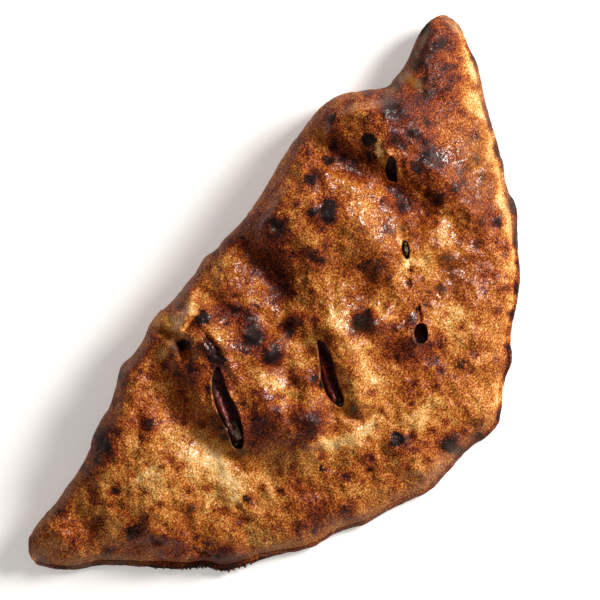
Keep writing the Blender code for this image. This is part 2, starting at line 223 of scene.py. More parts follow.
# Mesh fineness.
POINTS_PER_SPAN = 8
EDGE_SPACING = 0.95
TOP_SPACING = 0.80
FINE_SPACING = 0.42
VENT_SPACING = 0.55
FINE_MARGIN = 1.6
BASE_SPACING = 4.0
INNER_SPACING = 3.2
CHUNK = 6000
FAR = 1000.0
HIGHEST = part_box("crust")[1][2] / MM - 0.02
BEND_BELOW_TOP = 1.5

# ---------------------------------------------------------------- browning of the crust

# Patches of browning, partly painted shade on slopes turned from the key and painted highlights on lit flanks:
# centre x and y, half length, half width, direction, how much browner (or paler).
BROWNING_AND_LIGHT_PATCHES = [
    (91, 19, 4, 6, 0, .25), (71, 20, 5, 5, 0, .30), (-20, 8, 4, 5, 0, -.30), (-41, 57, 5, 4, 0, -.28),
    (52, -13, 14, 8, 0, .18), (28, -31, 10, 6, 0, .20), (15, -38, 10, 6, 0, .14), (62, -34, 8, 8, 0, .14),
    (76, -39, 10, 4, 40, .14), (-121, 50, 8, 4, 0, .20), (130, 48, 8, 6, 30, .20), (83.2, 39, 4, 1.9, 60, -.75), (49.5, -1, 4.5, 1.4, 50, -.45), (59, 10.5, 4.5, 1.2, 50, -.35),
    (-57, 26, 6, 12, 10, .16), (-46, 29, 3, 6, -30, -.12), (98, 46, 5, 6, 0, .12), (-106, -1, 4, 3, 0, -.15),
    (-118, 28, 14, 8, -50, .08), (-86, 57, 9, 6, 20, .32),
    (-104, 8, 10, 8, -50, .20), (-47, 27, 20, 8, 64, .26), (-40, 5, 10, 9, 0, .22),
    (-27, -8, 8, 6, 0, .38), (-14, 23, 4, 4, 0, .40), (3, 24, 5, 4, 0, .36),
    (-12, 35, 4, 4, 0, .35), (25, 50, 13, 9, 100, .22), (42, 44, 12, 12, 0, .06),
    (38, 12, 9, 14, 90, .12), (20, 0, 4, 5, 90, .40), (24, -10, 8, 8, 0, .20),
    (24, -24, 5, 6, 90, .26), (73, 46, 15, 7, 90, .26), (82, 14, 15, 13, 0, .14), (11, 37, 6, 12, 0, .26), (92, -14, 22, 12, 45, .14),
    (112, 40, 18, 14, 0, .30), (95, 30, 8, 10, 0, .22),
    (-55, -34, 10, 6, -20, .18), (-97, -13, 14, 7, -50, .30),
    (-70, -12, 8, 7, 0, .18), (-50, -21, 7, 8, 0, .20), (-15, 15, 6, 11, 0, .22), (0, 40, 12, 14, 90, .14), (-66, 47, 10, 8, 60, .12),
    (-66, 10, 22, 8, 80, -.46), (-85, 30, 14, 12, 0, -.22), (-58, -12, 9, 9, 0, -.10), (-39, -22, 14, 7, 90, -.16),
    (-9, 45, 17, 5, 90, .26), (100, 44, 8, 8, 0, .14), (132, 50, 9, 5, 0, .18),
    (58, -14, 14, 8, -20, .12), (30, -32, 10, 6, 0, .10),
    (-24, -22, 13, 2.6, -38, -.30), (-9, -30, 9, 3.4, -8, -.28), (-30, 66, 3.5, 3, 0, -.24), (-23, 60, 9, 1.8, 10, -.45), (-28, 50, 5, 2, 95, -.25),
    (-36, 64, 5, 2.0, 100, .30), (16, 8, 7, 3, 90, -.32), (8, 7, 4, 5, 0, .08),
    (7, -13, 9, 4, 80, -.26), (-22, 14, 8, 5, 90, -.26), (-8, 14, 6, 4, 0, -.26),
    (-2, 43, 4, 4, 0, -.22), (55, -6, 8, 7, 90, -.32), (40, -33, 20, 8, 0, -.20),
    (5, -43, 10, 4, 0, -.26), (99, 20, 9, 4, 90, -.18), (50, 1, 4, 3, 50, -.3),
    (71, -5, 7, 4, 70, -.25), (29, -3, 4, 4, 0, -.25),
    (-56, 66, 12, 4, 0, .16), (-18, 50, 3, 7, 10, -.22), (-17, 39, 5, 4, 0, .18),
    (14, 46, 6, 10, -10, .16), (14, 56, 5, 5, 0, .14), (9, 26, 7, 6, 0, -.20), (28, 38, 6, 4, 0, -.08),
    (36, 61, 14, 4, 0, .13), (52, 50, 5, 5, 0, .10), (60, 62, 5, 5, 0, .15), (70, 56, 3, 4, 0, -.14),
    (71, 39, 4, 8, 0, .12), (84, 31, 5, 8, 20, -.08), (88, 50, 5, 5, 0, -.08), (97, 45, 6, 5, 0, .10),
    (90, 19, 3, 9, 0, .14), (71, 15, 5, 7, 0, .12), (89, 0, 5, 6, 0, .12), (62, 4, 4, 5, 0, .15),
    (75, -15, 4, 6, 0, .14), (45, 25, 5, 6, 0, .10), (-50, 26, 4, 9, -30, -.18), (-58, 31, 5, 8, 0, -.08),
    (-49, 6, 6, 6, 0, .13), (-30, 8, 5, 5, 0, .12), (-18, 19, 4, 5, 0, .12), (-8, 11, 4, 5, 0, .13),
    (18.5, -4, 5, 4, 90, .22), (29, -19, 3, 3, 0, -.16), (-24, -10, 4, 6, 0, .10),
    (-95, -19, 8, 4, -40, .12), (-79, -17, 5, 6, 0, -.08), (-106, 43, 8, 6, 40, -.09),
    (-72, 41, 6, 5, 0, .09), (131, 47, 6, 5, 0, .09), (112, 26, 8, 6, 0, .05), (119, 24, 5, 5, 0, .18), (93, -13, 4, 3, 0, .14)]
# A painted light band runs just inside the right rim, on the rim's slope that faces the key.
LIT_RIM_BAND = [(142, 50), (140, 42), (134, 31.5), (127, 22), (117, 9), (105, -6.5), (85, -29), (60, -48), (30, -67)]
LIT_RIM_BAND_WIDTH = 2.7
LIT_RIM_BAND_AMOUNT = 0.42
# Scorched blisters: centre x and y, radius, strength.
SCORCHES = [
    (-19.4, 54.6, 2.7, 1.0), (-33.2, 54.0, 2.5, 1.0), (-39, 46, 1.5, .9), (-42.5, 41, 3.6, .5),
    (-29.3, 40.4, 2.5, 1.0), (-27.2, 43.8, 1.5, .9), (-28.6, 36.8, 2.2, .9), (-31.5, 31.6, 3.0, .5),
    (-45, 51, 4.0, .4), (-36, 30, 2.0, .4), (-38, 11, 2.4, .7), (-41, 6, 2.6, .5),
    (50, 42, 2.7, .95), (45.6, 38.8, 2.2, .95), (43.6, 45.6, 2.0, .9), (46.6, 42, 1.5, .8),
    (54, 55, 2.6, .9), (82, 46, 2.9, 1.0),
    (78, 40.5, 2.0, .9), (65, 54, 2.2, .9), (80, 63, 2.2, .7), (-13, 32.5, 2.6, .9),
    (-15.4, 23, 2.0, .65), (-12, 22, 1.8, .6), (-3.4, 22.6, 1.8, .5), (2.6, 23.4, 2.3, .55), (30, 33, 2.6, .7),
    (28, 51, 2.4, .7), (43.5, 10, 2.6, .7), (40, 15.5, 2.6, .7), (20.5, 2, 3.0, .7),
    (82, 8, 2.2, .7), (82, 17, 1.8, .6), (91.5, 23, 2.4, .8), (88, 52, 1.8, .7),
    (88.5, 37.5, 1.6, .8), (96, 33.5, 1.8, .7), (100, 47, 2.0, .4), (117, 35, 2.0, .5),
    (103, 14, 3.0, .5), (112, 12, 2.0, .6), (-9.5, -41, 2.9, 1.0), (2.5, -60, 3.3, 1.0),
    (-38.5, -24, 1.8, .8), (-36, -32, 2.2, .6), (-25, -9, 4.0, .45), (-57, -34, 2.6, .5),
    (-64, -31, 2.0, .7), (-45, -43, 2.2, .6), (-14, -46, 2.6, .4), (32, -43, 2.0, .8),
    (32, -48, 1.6, .6), (34, -30, 2.6, .6), (44, -33, 1.6, .5), (13, -67, 2.0, .8),
    (-108, 22, 3.2, .8), (-101, 21, 1.6, .6), (-76, 25, 2.8, .4), (-69, 45, 2.2, .8),
    (-76, 43, 1.6, .7), (-114, 36, 2.4, .6), (-107, 42, 2.0, .5), (-86, 46, 1.6, .5),
    (-101, 51, 2.2, .6), (-121, 52, 1.6, .6), (-92, 29, 1.6, .6), (-86, 9, 1.6, .6),
    (-80, 14, 1.6, .5), (-78, 1, 1.8, .6), (45.6, -4.4, 1.0, .9), (49.8, -1.4, .7, .8),
    (60, 9.2, .8, .7), (61.5, 10.8, .8, .7), (63, 12.2, .7, .7), (38.8, -14.2, 1.0, .9), (-68, -7, 1.8, .8), (-52, 21, 1.6, .5),
    (-46, 45, 2.4, .4), (-88, 55, 4.0, .5), (133, 56, 2.6, .9), (22, -22, 3.6, .5),
    (33, -14, 2.2, .6), (-10.6, 2.4, 1.3, .9), (-10.6, -2.2, 1.4, .9), (-48, 24, 1.4, .8),
    (-50.4, 20, 1.2, .7), (-53, 16, 1.4, .8), (-11, -22, 2.6, .5), (-7, 16, 2.2, .4),
    (72, 50, 2.6, .45), (69, 43, 2.2, .4), (25, 40, 2.6, .4), (28, 58, 2.6, .4),
    (-130, 38, 1.8, .4), (60, -24, 1.4, .4), (-24, -36, 1.6, .4), (52, -17, 1.4, .3)]
SMALL_SPOTS = 620
SMALL_SPOT_SIZE = (0.5, 2.1)
SMALL_SPOT_AMOUNT = 0.34
# Where oil has gathered on the crust: centre x and y, half length, half width, direction.
OILY = [
    (-17.5, 50, 8, 4, 85, 1.0), (-24, 60.5, 6, 2, 5, .8), (-27, 48, 4, 2, 90, .8), (-22, 41, 6, 3.5, 40, 1.0), (-29, 33, 7, 4.5, 60, 1.0),
    (-25.5, 19, 8, 3.5, 85, .9), (-22, 9, 6, 3.5, 80, .9), (-22, 32, 2, 1.5, 0, .8),
    (41, 51, 8, 4, 0, .9), (62, 40, 13, 5, 92, 1.0), (54, 25, 8, 6, 110, 1.0), (60, 16, 6, 4, 60, .9),
    (50, 24, 8, 6, 0, .6), (35, 33, 10, 5, 90, .7), (95, 0, 7, 3, 0, .8), (96, 18, 9, 4, 110, .9),
    (104, 13, 5, 3, 0, .8), (71, -5, 7, 4, 70, .9), (16.5, 8, 8, 3, 85, .9), (29, -4, 6, 4, 60, .9),
    (32, -14, 3, 2, 0, .8), (37.5, -13, 3, 1.5, 50, .8), (49, -18, 4, 3, 0, .8),
    (59, -20, 4, 3, 0, .8), (6, -8, 9, 3, 75, .8), (4, -20, 6, 3, 60, .8), (-27, -19, 9, 2.5, -38, .7), (0, 57, 8, 7, 0, .6), (48, 1, 6, 2.5, 45, .9),
    (93, 50, 8, 5, 60, .3), (83, 40, 4, 3, 0, .6), (-65, 2, 8, 4, 90, .8), (-67, 22, 14, 4, 90, .7), (-14, -28, 8, 2.5, -20, .7), (-47, -13, 6, 3, 90, .5),
    (-12, 13, 6, 4, 90, .5), (0, 33, 5, 8, 0, .4), (26, 12, 5, 8, 0, .5), (48, 42, 4, 4, 0, .7),
    (-9.5, -41, 2.5, 2.5, 0, .4), (75, -12, 8, 4, 60, .5), (58, -30, 8, 5, 45, .4)]
# Dusty with flour: centre x and y, half length, half width, direction, amount.
DUSTY = [
    (-18, 68, 6, 1.8, 12, .8), (-36.4, 57, 3, 1.2, 50, .7), (-142, 46, 9, 3.0, 75, .75),
    (-134, 32, 8, 2.2, -50, .6), (-122, 20, 12, 2.6, -58, .5), (-120, 54.5, 24, 1.6, 0, .5),
    (110, 51, 9, 2.4, 0, .55), (126, 53, 10, 1.4, 12, .5), (143, 48, 6, 1.6, 90, .6),
    (126, 19, 20, 1.5, 51, .4), (98, -17, 20, 1.5, 51, .35), (-55, 67, 20, 1.2, 10, .4),
    (-10, -63, 26, 4, -8, .35), (-45, -50, 24, 3, -35, .35), (-80, -27, 20, 2.4, -40, .35)]
# Baked dry, without gloss: centre x and y, half length, half width, direction, amount.
DRY = [
    (-110, 35, 45, 30, 20, .8), (-80, 40, 40, 26, 90, .8), (-70, -20, 40, 14, -40, .6),
    (125, 35, 26, 22, 0, .7), (0, -52, 50, 14, 0, .5), (-64, 40, 12, 30, 0, .9), (125, 10, 20, 10, 50, .6)]
# Yellowed by oil: centre x and y, half length, half width, direction, amount.
YELLOWED = [
    (-29.5, 64.5, 3.4, 2.4, 0, 1.0), (-55, 10, 10, 4, 100, .5), (-66, 4, 14, 5, 90, .25),
    (113.5, 46, 5, 1.8, 100, .6), (60, 11, 6, 3, 60, .4), (17, 4, 10, 4, 95, .2),
    (-10, -18, 10, 6, -20, .35), (-2, 8, 6, 10, 0, .15), (60, -10, 16, 10, 30, .2),
    (44, 14, 12, 16, 0, .12), (105, 4, 14, 8, 50, .35), (-88, 8, 6, 6, 0, .2)]
# Dark lens-shaped blisters on the right sealed edge: centre x and y, half length, direction.
LIP_BLISTERS = [
    (98, -19, 4, 50), (91, -27, 4, 42), (87, -29.5, 3, 40), (80, -36.5, 3.5, 42),
    (72, -42, 3.5, 35), (63, -47.6, 4, 28), (46, -58, 3.5, 35), (40, -61, 3, 20),
    (26, -69, 3.5, 35), (112, 0, 3, 55), (120, 10, 3, 55), (137, 31.5, 2.5, 62)]
LIP_SHADE_FROM = -62.0              # the sealed lip is painted near black to the left of here, as shade on the side turned from the key
DUST_AND_SHADE_HEIGHT = 19.0                # flour and painted grey shade lie on the folded side below this height


def smooth_path(points, closed, steps=POINTS_PER_SPAN):
    """Points along a Catmull-Rom curve through the given points."""
    given = np.array(points, float)
    if closed:
        padded = np.vstack([given[-1], given, given[:2]])
    else:
        padded = np.vstack([2 * given[0] - given[1], given, 2 * given[-1] - given[-2]])
    path = []
    for before, start, end, after in zip(padded, padded[1:], padded[2:], padded[3:]):
        for t in np.arange(steps) / steps:
            path.append(0.5 * (2 * start + (end - before) * t
                               + (2 * before - 5 * start + 4 * end - after) * t ** 2
                               + (3 * start - before - 3 * end + after) * t ** 3))
    if not closed:
        path.append(given[-1])
    return np.array(path)


def even_loop(loop, spacing):
    """The same closed loop with evenly spaced points."""
    closed = np.vstack([loop, loop[:1]])
    travelled = np.concatenate([[0], np.cumsum(np.linalg.norm(np.diff(closed, axis=0), axis=1))])
    count = round(travelled[-1] / spacing)
    stations = travelled[-1] * np.arange(count) / count
    return np.column_stack([np.interp(stations, travelled, closed[:, axis]) for axis in (0, 1)])


def in_chunks(measure):
    """Run a measure on a few thousand points at a time, which keeps memory small."""
    def measured(path, points):
        parts = [measure(path, points[i:i + CHUNK]) for i in range(0, len(points), CHUNK)]
        return np.concatenate(parts) if parts else np.zeros(0)
    return measured


@in_chunks
def distance_to(path, points):
    """Distance from each point to a path of straight pieces."""
    start = path[:-1]
    along = path[1:] - start
    offset = points[:, None, :] - start[None, :, :]
    share = (offset * along).sum(2) / (along ** 2).sum(1)
    nearest = offset - np.clip(share, 0, 1)[..., None] * along
    return np.sqrt((nearest ** 2).sum(2).min(1))


@in_chunks
def soft_distance_to(path, points):
    """A distance without creases: each piece of the path pulls with the fourth power."""
    pieces = np.linalg.norm(np.diff(path, axis=0), axis=1)
    middles = (path[:-1] + path[1:]) / 2
    squares = ((points[:, None, :] - middles[None, :, :]) ** 2).sum(2) + (pieces / 2) ** 2
    return (np.pi / 2 / (pieces / squares ** 2).sum(1)) ** (1 / 3)


def smooth_step(t):
    t = np.clip(t, 0, 1)
    return t * t * (3 - 2 * t)


def quarter_round(t, power=2):
    """Rises steeply from 0 and levels out at 1."""
    return (1 - (1 - np.clip(t, 0, 1)) ** power) ** (1 / power)


def soft_ramp(t):
    """A straight rise from 0 to 1 that sets in and ends gently."""
    def bent(s):
        low = np.clip(s + SEAL_START, 0, 2 * SEAL_START) ** 2 / (4 * SEAL_START)
        return low + np.clip(s - SEAL_START, 0, None)
    return np.clip((bent(t) - bent(t - 1) - bent(0)) / (1 - bent(0)), 0, 1)


def grain(points, wavelength, octaves, layer):
    """Fractal noise between about -1 and 1, the same on every run."""
    shift = Vector((37.1, 11.7, 5.3)) * (layer + 1)
    if points.shape[1] == 2:
        points = np.column_stack([points, np.zeros(len(points))])
    scaled = points / wavelength
    return np.array([noise.fractal(Vector(p) + shift, 1.0, 2.0, octaves) for p in scaled]) * 1.6


def ellipse_falloff(points, centre_x, centre_y, half_length, half_width, direction):
    turn = np.radians(direction)
    across_x = points[:, 0] - centre_x
    across_y = points[:, 1] - centre_y
    along = (across_x * np.cos(turn) + across_y * np.sin(turn)) / half_length
    aside = (across_y * np.cos(turn) - across_x * np.sin(turn)) / half_width
    return np.exp(-along ** 2 - aside ** 2)


OUTLINE = smooth_path(FOLD_EDGE + SEALED_EDGE, closed=True)
FOLD_END = (len(FOLD_EDGE) - 1) * POINTS_PER_SPAN
FOLD_LINE = OUTLINE[:FOLD_END + 1]
SEAL_LINE = np.vstack([OUTLINE[FOLD_END:], OUTLINE[:1]])


class Place:
    """Points seen from above, with the distances that every height needs worked out once."""

    def __init__(self, points):
        self.points = points
        self.to_fold = soft_distance_to(FOLD_LINE, points)
        self.to_seal = soft_distance_to(SEAL_LINE, points)
        self.to_edge = np.minimum(self.to_fold, self.to_seal)
        near = self.to_edge < 2 * RELIEF_REACH
        self.to_edge[near] = np.minimum(distance_to(FOLD_LINE, points[near]),
                                        distance_to(SEAL_LINE, points[near]))
        self.fold_share = smooth_step(self.to_seal / (self.to_fold + self.to_seal))
        self.equator = LIP_EQUATOR + (FOLD_EQUATOR - LIP_EQUATOR) * self.fold_share


def relief(points, narrowest=0.0):
    """Swells and valleys of the top: narrow swells are left out, narrow valleys widened."""
    rise = np.zeros(len(points))
    for centre_x, centre_y, half_length, half_width, direction, height in SWELLS:
        if half_width >= narrowest:
            rise += height * ellipse_falloff(points, centre_x, centre_y, half_length, half_width,
                                             direction)
    for route, half_width, depth in VALLEYS:
        reach = max(half_width, narrowest)
        distance = near_distance(smooth_path(route, closed=False), points, 4 * reach)
        rise -= depth * np.exp(-(distance / reach) ** 2)
    return rise


def smooth_height(place, narrowest=0.0):
    """Height of the top without its fine detail."""
    sealed = 1 - place.fold_share
    sheet = TOP_SHEET_THICKNESS * quarter_round((place.to_edge - TOP_SHEET_INSET) / TOP_SHEET_REACH)
    ramp = soft_ramp(place.to_seal / SEAL_REACH)
    dome = quarter_round(place.to_fold / FOLD_REACH, power=3) * ramp
    horn = HORN_PLUMPNESS * quarter_round(place.to_fold / HORN_FOLD_REACH)
    horn *= smooth_step(place.to_seal / HORN_SEAL_REACH) * (1 - ramp)
    rim = place.equator + (LIP_THICKNESS + sheet) * sealed
    full_rim = place.equator + (LIP_THICKNESS + TOP_SHEET_THICKNESS) * sealed
    fade = smooth_step(place.to_edge / RELIEF_REACH)
    return rim + horn + (TOP_LEVEL - full_rim) * dome + relief(place.points, narrowest) * fade


def scattered(count, sizes, seed):
    """Random spots inside the outline: centre x and y, and radius. Small ones are commoner."""
    chance = np.random.default_rng(seed)
    low = OUTLINE.min(0)
    high = OUTLINE.max(0)
    centres = chance.uniform(low, high, (2 * count, 2))
    centres = centres[is_inside(OUTLINE, centres)][:count]
    radii = sizes[0] + (sizes[1] - sizes[0]) * chance.random(len(centres)) ** 2
    return np.column_stack([centres, radii])


def near_distance(path, points, reach):
    """Distance to a path for points within its reach, and a large number for the others."""
    distance = np.full(len(points), FAR)
    near = ((points > path.min(0) - reach) & (points < path.max(0) + reach)).all(axis=1)
    distance[near] = distance_to(path, points[near])
    return distance


def vent_distances(points):
    """Distance from each point to the nearest vent's edge, for points close to one."""
    nearest = np.full(len(points), FAR)
    for loop in VENT_LOOPS:
        path = np.vstack([loop, loop[:1]])
        nearest = np.minimum(nearest, near_distance(path, points, 4 * LIP_SWELL_REACH))
    return nearest


def fine_height(place):
    """What ridges, creases, lumps and blisters add to the top."""
    points = place.points
    rise = np.zeros(len(points))
    moved = points + np.column_stack([grain(points, 6, 3, 50), grain(points, 6, 3, 51)]) * 0.8
    for route, half_width, height in RIDGES:
        distance = near_distance(smooth_path(route, closed=False), moved, 4 * half_width)
        rise += height * np.exp(-(distance / half_width) ** 2)
    for centre_x, centre_y, radius, depth in DIMPLES:
        rise -= depth * ellipse_falloff(points, centre_x, centre_y, radius, radius, 0)
    for layer, (wavelength, octaves, height) in enumerate(LUMPS):
        rise += height * grain(points, wavelength, octaves, layer)
    for centre_x, centre_y, radius, strength in SCORCHES:
        rise += 0.16 * radius * strength * ellipse_falloff(points, centre_x, centre_y, radius,
                                                           radius, 0)
    for centre_x, centre_y, radius in scattered(SMALL_BLISTERS, SMALL_BLISTER_SIZE, SEED):
        near = np.hypot(points[:, 0] - centre_x, points[:, 1] - centre_y) < 3 * radius
        rise[near] += SMALL_BLISTER_RISE * radius * ellipse_falloff(
            points[near], centre_x, centre_y, radius, radius, 0)
    rise += LIP_SWELL * np.exp(-(vent_distances(points) / LIP_SWELL_REACH) ** 2)
    return rise * smooth_step(place.to_edge / 5.0)


def crust_height(place):
    """Height of the baked surface, which levels off just below the CAD model's highest point."""
    height = smooth_height(place) + fine_height(place)
    bend = HIGHEST - BEND_BELOW_TOP
    over = np.clip(height - bend, 0, None)
    return np.minimum(height, bend) + BEND_BELOW_TOP * (1 - np.exp(-over / BEND_BELOW_TOP))


def inward_normals(loop, smoothing):
    """Unit normals to the left of a loop's direction of travel, smoothed round corners."""
    chord = np.roll(loop, -smoothing, axis=0) - np.roll(loop, smoothing, axis=0)
    normals = np.column_stack([-chord[:, 1], chord[:, 0]])
    return normals / np.linalg.norm(normals, axis=1)[:, None]


def is_inside(loop, points):
    closed = np.vstack([loop, loop[:1]])
    inside = np.zeros(len(points), bool)
    for (ax, ay), (bx, by) in zip(closed, closed[1:]):
        if ay != by:
            spans = (ay > points[:, 1]) != (by > points[:, 1])
            inside ^= spans & (points[:, 0] < (bx - ax) * (points[:, 1] - ay) / (by - ay) + ax)
    return inside


def staggered_grid(low, high, spacing):
    rows = []
    for row, y in enumerate(np.arange(low[1], high[1], spacing * math.sqrt(3) / 2)):
        xs = np.arange(low[0] + (row % 2) * spacing / 2, high[0], spacing)
        rows.append(np.column_stack([xs, np.full(len(xs), y)]))
    return np.vstack(rows)


def points_within(loop, holes, spacing, clearance):
    """A staggered grid inside a loop and outside its holes, clear of their edges."""
    grid = staggered_grid(loop.min(0), loop.max(0), spacing)
    keep = is_inside(loop, grid)
    grid = grid[keep]
    keep = distance_to(np.vstack([loop, loop[:1]]), grid) > clearance
    for hole in holes:
        keep &= ~is_inside(hole, grid)
        keep &= distance_to(np.vstack([hole, hole[:1]]), grid) > clearance
    return grid[keep]


class Skin:
    """One closed mesh in the making: points, triangles, and each triangle's place on the map."""

    def __init__(self):
        self.points = []
        self.kinds = []
        self.torn = []
        self.triangles = []
        self.uvs = []
        self.count = 0

    def add(self, points, kind, torn=0.0):
        self.points.append(np.asarray(points, float))
        self.kinds.append(np.full(len(points), kind))
        self.torn.append(np.broadcast_to(torn, len(points)))
        self.count += len(points)
        return np.arange(self.count - len(points), self.count)

    def all_points(self):
        return np.vstack(self.points)

    def all_lit_torn(self):
        return np.concatenate(self.torn)

    def bridge(self, lower, upper, strip):
        """Join two rings, the upper one above or inside the lower one, with outward faces."""
        count = len(lower)
        here = np.arange(count)
        there = (here + 1) % count
        corners = [(lower[here], lower[there], upper[there]), (lower[here], upper[there], upper[here])]
        u = np.column_stack([here, here + 1]) / count
        v = strip.rows()
        marks = [((u[:, 0], v[0]), (u[:, 1], v[0]), (u[:, 1], v[1])),
                 ((u[:, 0], v[0]), (u[:, 1], v[1]), (u[:, 0], v[1]))]
        for triple, mark in zip(corners, marks):
            self.triangles.append(np.column_stack(triple))
            spots = [np.column_stack([a, np.full(count, b)]) for a, b in mark]
            self.uvs.append(strip.place(np.stack(spots, axis=1)))

    def fill(self, loops, inner, sheet, upwards):
        """Close one ring, leaving the others as holes, with triangles through inner points."""
        everything = self.all_points()
        ids = np.concatenate(list(loops) + [inner]).astype(int)
        flat = [Vector(p) for p in everything[ids, :2]]
        edges = []
        start = 0
        for loop in loops:
            count = len(loop)
            edges += [(start + i, start + (i + 1) % count) for i in range(count)]
            start += count
        _, _, faces, sources, _, _ = delaunay_2d_cdt(flat, edges, [], 2, 1e-7)
        pick = np.array([source[0] for source in sources])
        triangles = ids[pick[np.array(faces)]]
        middles = everything[triangles][:, :, :2].mean(axis=1)
        for loop in loops[1:]:
            outside = ~is_inside(everything[loop][:, :2], middles)
            triangles = triangles[outside]
            middles = middles[outside]
        a, b, c = [everything[triangles[:, k], :2] for k in range(3)]
        turn = np.cross(b - a, c - a)
        wrong = (turn > 0) != upwards
        triangles[wrong] = triangles[wrong][:, ::-1]
        self.triangles.append(triangles)
        self.uvs.append(sheet.place(everything[triangles][:, :, :2]))

    def make(self, name):
        points = self.all_points()
        triangles = np.vstack(self.triangles)
        mesh = bpy.data.meshes.new(name)
        mesh.vertices.add(len(points))
        mesh.vertices.foreach_set("co", (points * MM).ravel())
        mesh.loops.add(triangles.size)
        mesh.loops.foreach_set("vertex_index", triangles.ravel().astype(np.int32))
        mesh.polygons.add(len(triangles))
        mesh.polygons.foreach_set("loop_start", np.arange(0, triangles.size, 3, dtype=np.int32))
        mesh.update(calc_edges=True)
        mesh.validate()
        mesh.shade_smooth()
        layer = mesh.uv_layers.new(name="OFBake")
        layer.data.foreach_set("uv", np.concatenate([part.reshape(-1, 2) for part in self.uvs]).ravel())
        piece = bpy.data.objects.new(name, mesh)
        bpy.context.collection.objects.link(piece)
        return piece


class Sheet:
    """A flat island of the map: it starts at a corner and keeps the mesh's proportions."""

    def __init__(self, corner, scale, low):
        self.corner = np.array(corner)
        self.scale = scale
        self.low = np.array(low, float)

    def place(self, spots):
        return self.corner + (spots - self.low) * self.scale


class Strip:
    """Rings unrolled into rows of the map, one below the other."""

    def __init__(self, corner, width, height, rows_high, total):
        self.corner = np.array(corner)
        self.width = width
        self.height = height
        self.rows_high = rows_high
        self.total = total
        self.level = 0

    def rows(self):
        self.level += 1
        return (self.level - 1) / self.total, self.level / self.total

    def place(self, spots):
        turns = spots[..., 0] * self.rows_high
        row = np.floor(turns.min(axis=1) + 1e-9)[:, None]
        u = self.corner[0] + (turns - row) * self.width
        v = self.corner[1] + (row + spots[..., 1] * 0.9) * self.height
        return np.stack([u, v], axis=2)


def vent_loops():
    return [even_loop(smooth_path(outline, closed=True, steps=4), VENT_SPACING) for outline in VENTS]


VENT_LOOPS = vent_loops()


def lit_torn_side(loop):
    """The outward directions along a vent, and how much each point is on its torn side, the side whose wall faces
    the key light.
    """
    outward = inward_normals(loop, 3)          # the loops run clockwise
    torn = np.clip(outward @ np.array(LIT_TORN_SIDE), 0, 1) ** 1.5
    return outward, torn


# ---------------------------------------------------------------- the crust's mesh

TOP, SIDE, BASE, LIP, WALL, INSIDE = range(6)

MAP_SCALE = 0.98 / 300
TOP_SHEET = Sheet((0.01, 0.505), MAP_SCALE, (-150, -75))
BASE_SHEET = Sheet((0.01, 0.005), 0.45 * MAP_SCALE, (-150, -75))
ROOF_SHEET = Sheet((0.47, 0.005), 0.30 * MAP_SCALE, (-110, -48))
FLOOR_SHEET = Sheet((0.70, 0.005), 0.30 * MAP_SCALE, (-110, -48))


def open_seam(points):
    """How far the upper sheet stands back from the lip at each point of the edge."""
    back = np.zeros(len(points))
    for centre_x, centre_y, half_length, amount in OPEN_SEAMS:
        back += amount * ellipse_falloff(points, centre_x, centre_y, half_length, half_length, 0)
    return back


def side_rings(edge):
    """Rings of points from the base up to the edge of the top."""
    inward = inward_normals(edge, 12)
    place = Place(edge)
    share = place.fold_share
    waves = sum(height * grain(edge, wavelength, octaves, 20 + layer)
                for layer, (wavelength, octaves, height) in enumerate(LIP_WAVES))
    ragged = np.clip(waves, -0.9, 0.9) * (1 - share)
    seam = open_seam(edge) + 0.35 * np.clip(grain(edge, 14, 2, 30), -1, 1)
    shoulder = Place(edge + inward * TOP_RINGS[0])
    shoulder_height = crust_height(shoulder)
    full_rise = quarter_round(TOP_RINGS[0] / FOLD_REACH, power=3)
    rings = []
    for number, ((inset, height), folded_inset) in enumerate(zip(SEALED_PROFILE, FOLDED_INSETS)):
        if number <= EQUATOR_RING:
            folded = FOLD_EQUATOR * (1 - quarter_round(folded_inset / FOLDED_UNDERSIDE))
        else:
            rise = quarter_round(folded_inset / FOLD_REACH, power=3) / full_rise
            folded = FOLD_EQUATOR + (shoulder_height - FOLD_EQUATOR) * rise
        sealed_inset = np.full(len(edge), inset)
        if number in UPPER_SHEET_RINGS:
            sealed_inset += np.clip(seam, -0.3, 3)
        elif number in GROOVE_RINGS:
            sealed_inset += np.clip(seam, -0.6, 3)
        else:
            sealed_inset += 0.5 * np.abs(ragged)
        across = sealed_inset * (1 - share) + folded_inset * share
        level = height * (1 - share) + folded * share
        ring = np.column_stack([edge + inward * across[:, None], level])
        if number > 0:
            push = sum(rise * grain(ring, wavelength, octaves, 40 + layer)
                       for layer, (wavelength, octaves, rise) in enumerate(SIDE_LUMPS))
            push = np.clip(push + 0.25, 0, None) * smooth_step(level / 2.5)
            ring[:, :2] += inward * (push * (0.35 + 0.65 * share))[:, None]
        rings.append(ring)
    for inset in TOP_RINGS:
        place = Place(edge + inward * inset)
        rings.append(np.column_stack([place.points, crust_height(place)]))
    return rings


def top_points(loop, holes):
    """Points that carry the top: a plain grid, and a finer one at vents and creases."""
    narrow = [smooth_path(route, closed=False) for route, half_width, _ in RIDGES if half_width < 1.5]

    def is_fine(points):
        fine = vent_distances(points) < LIP_WIDE + FINE_MARGIN
        for path in narrow:
            fine |= near_distance(path, points, FINE_MARGIN) < FINE_MARGIN
        return fine

    plain = points_within(loop, holes, TOP_SPACING, 0.45 * TOP_SPACING)
    fine = points_within(loop, holes, FINE_SPACING, 0.6 * FINE_SPACING)
    return np.vstack([plain[~is_fine(plain)], fine[is_fine(fine)]])


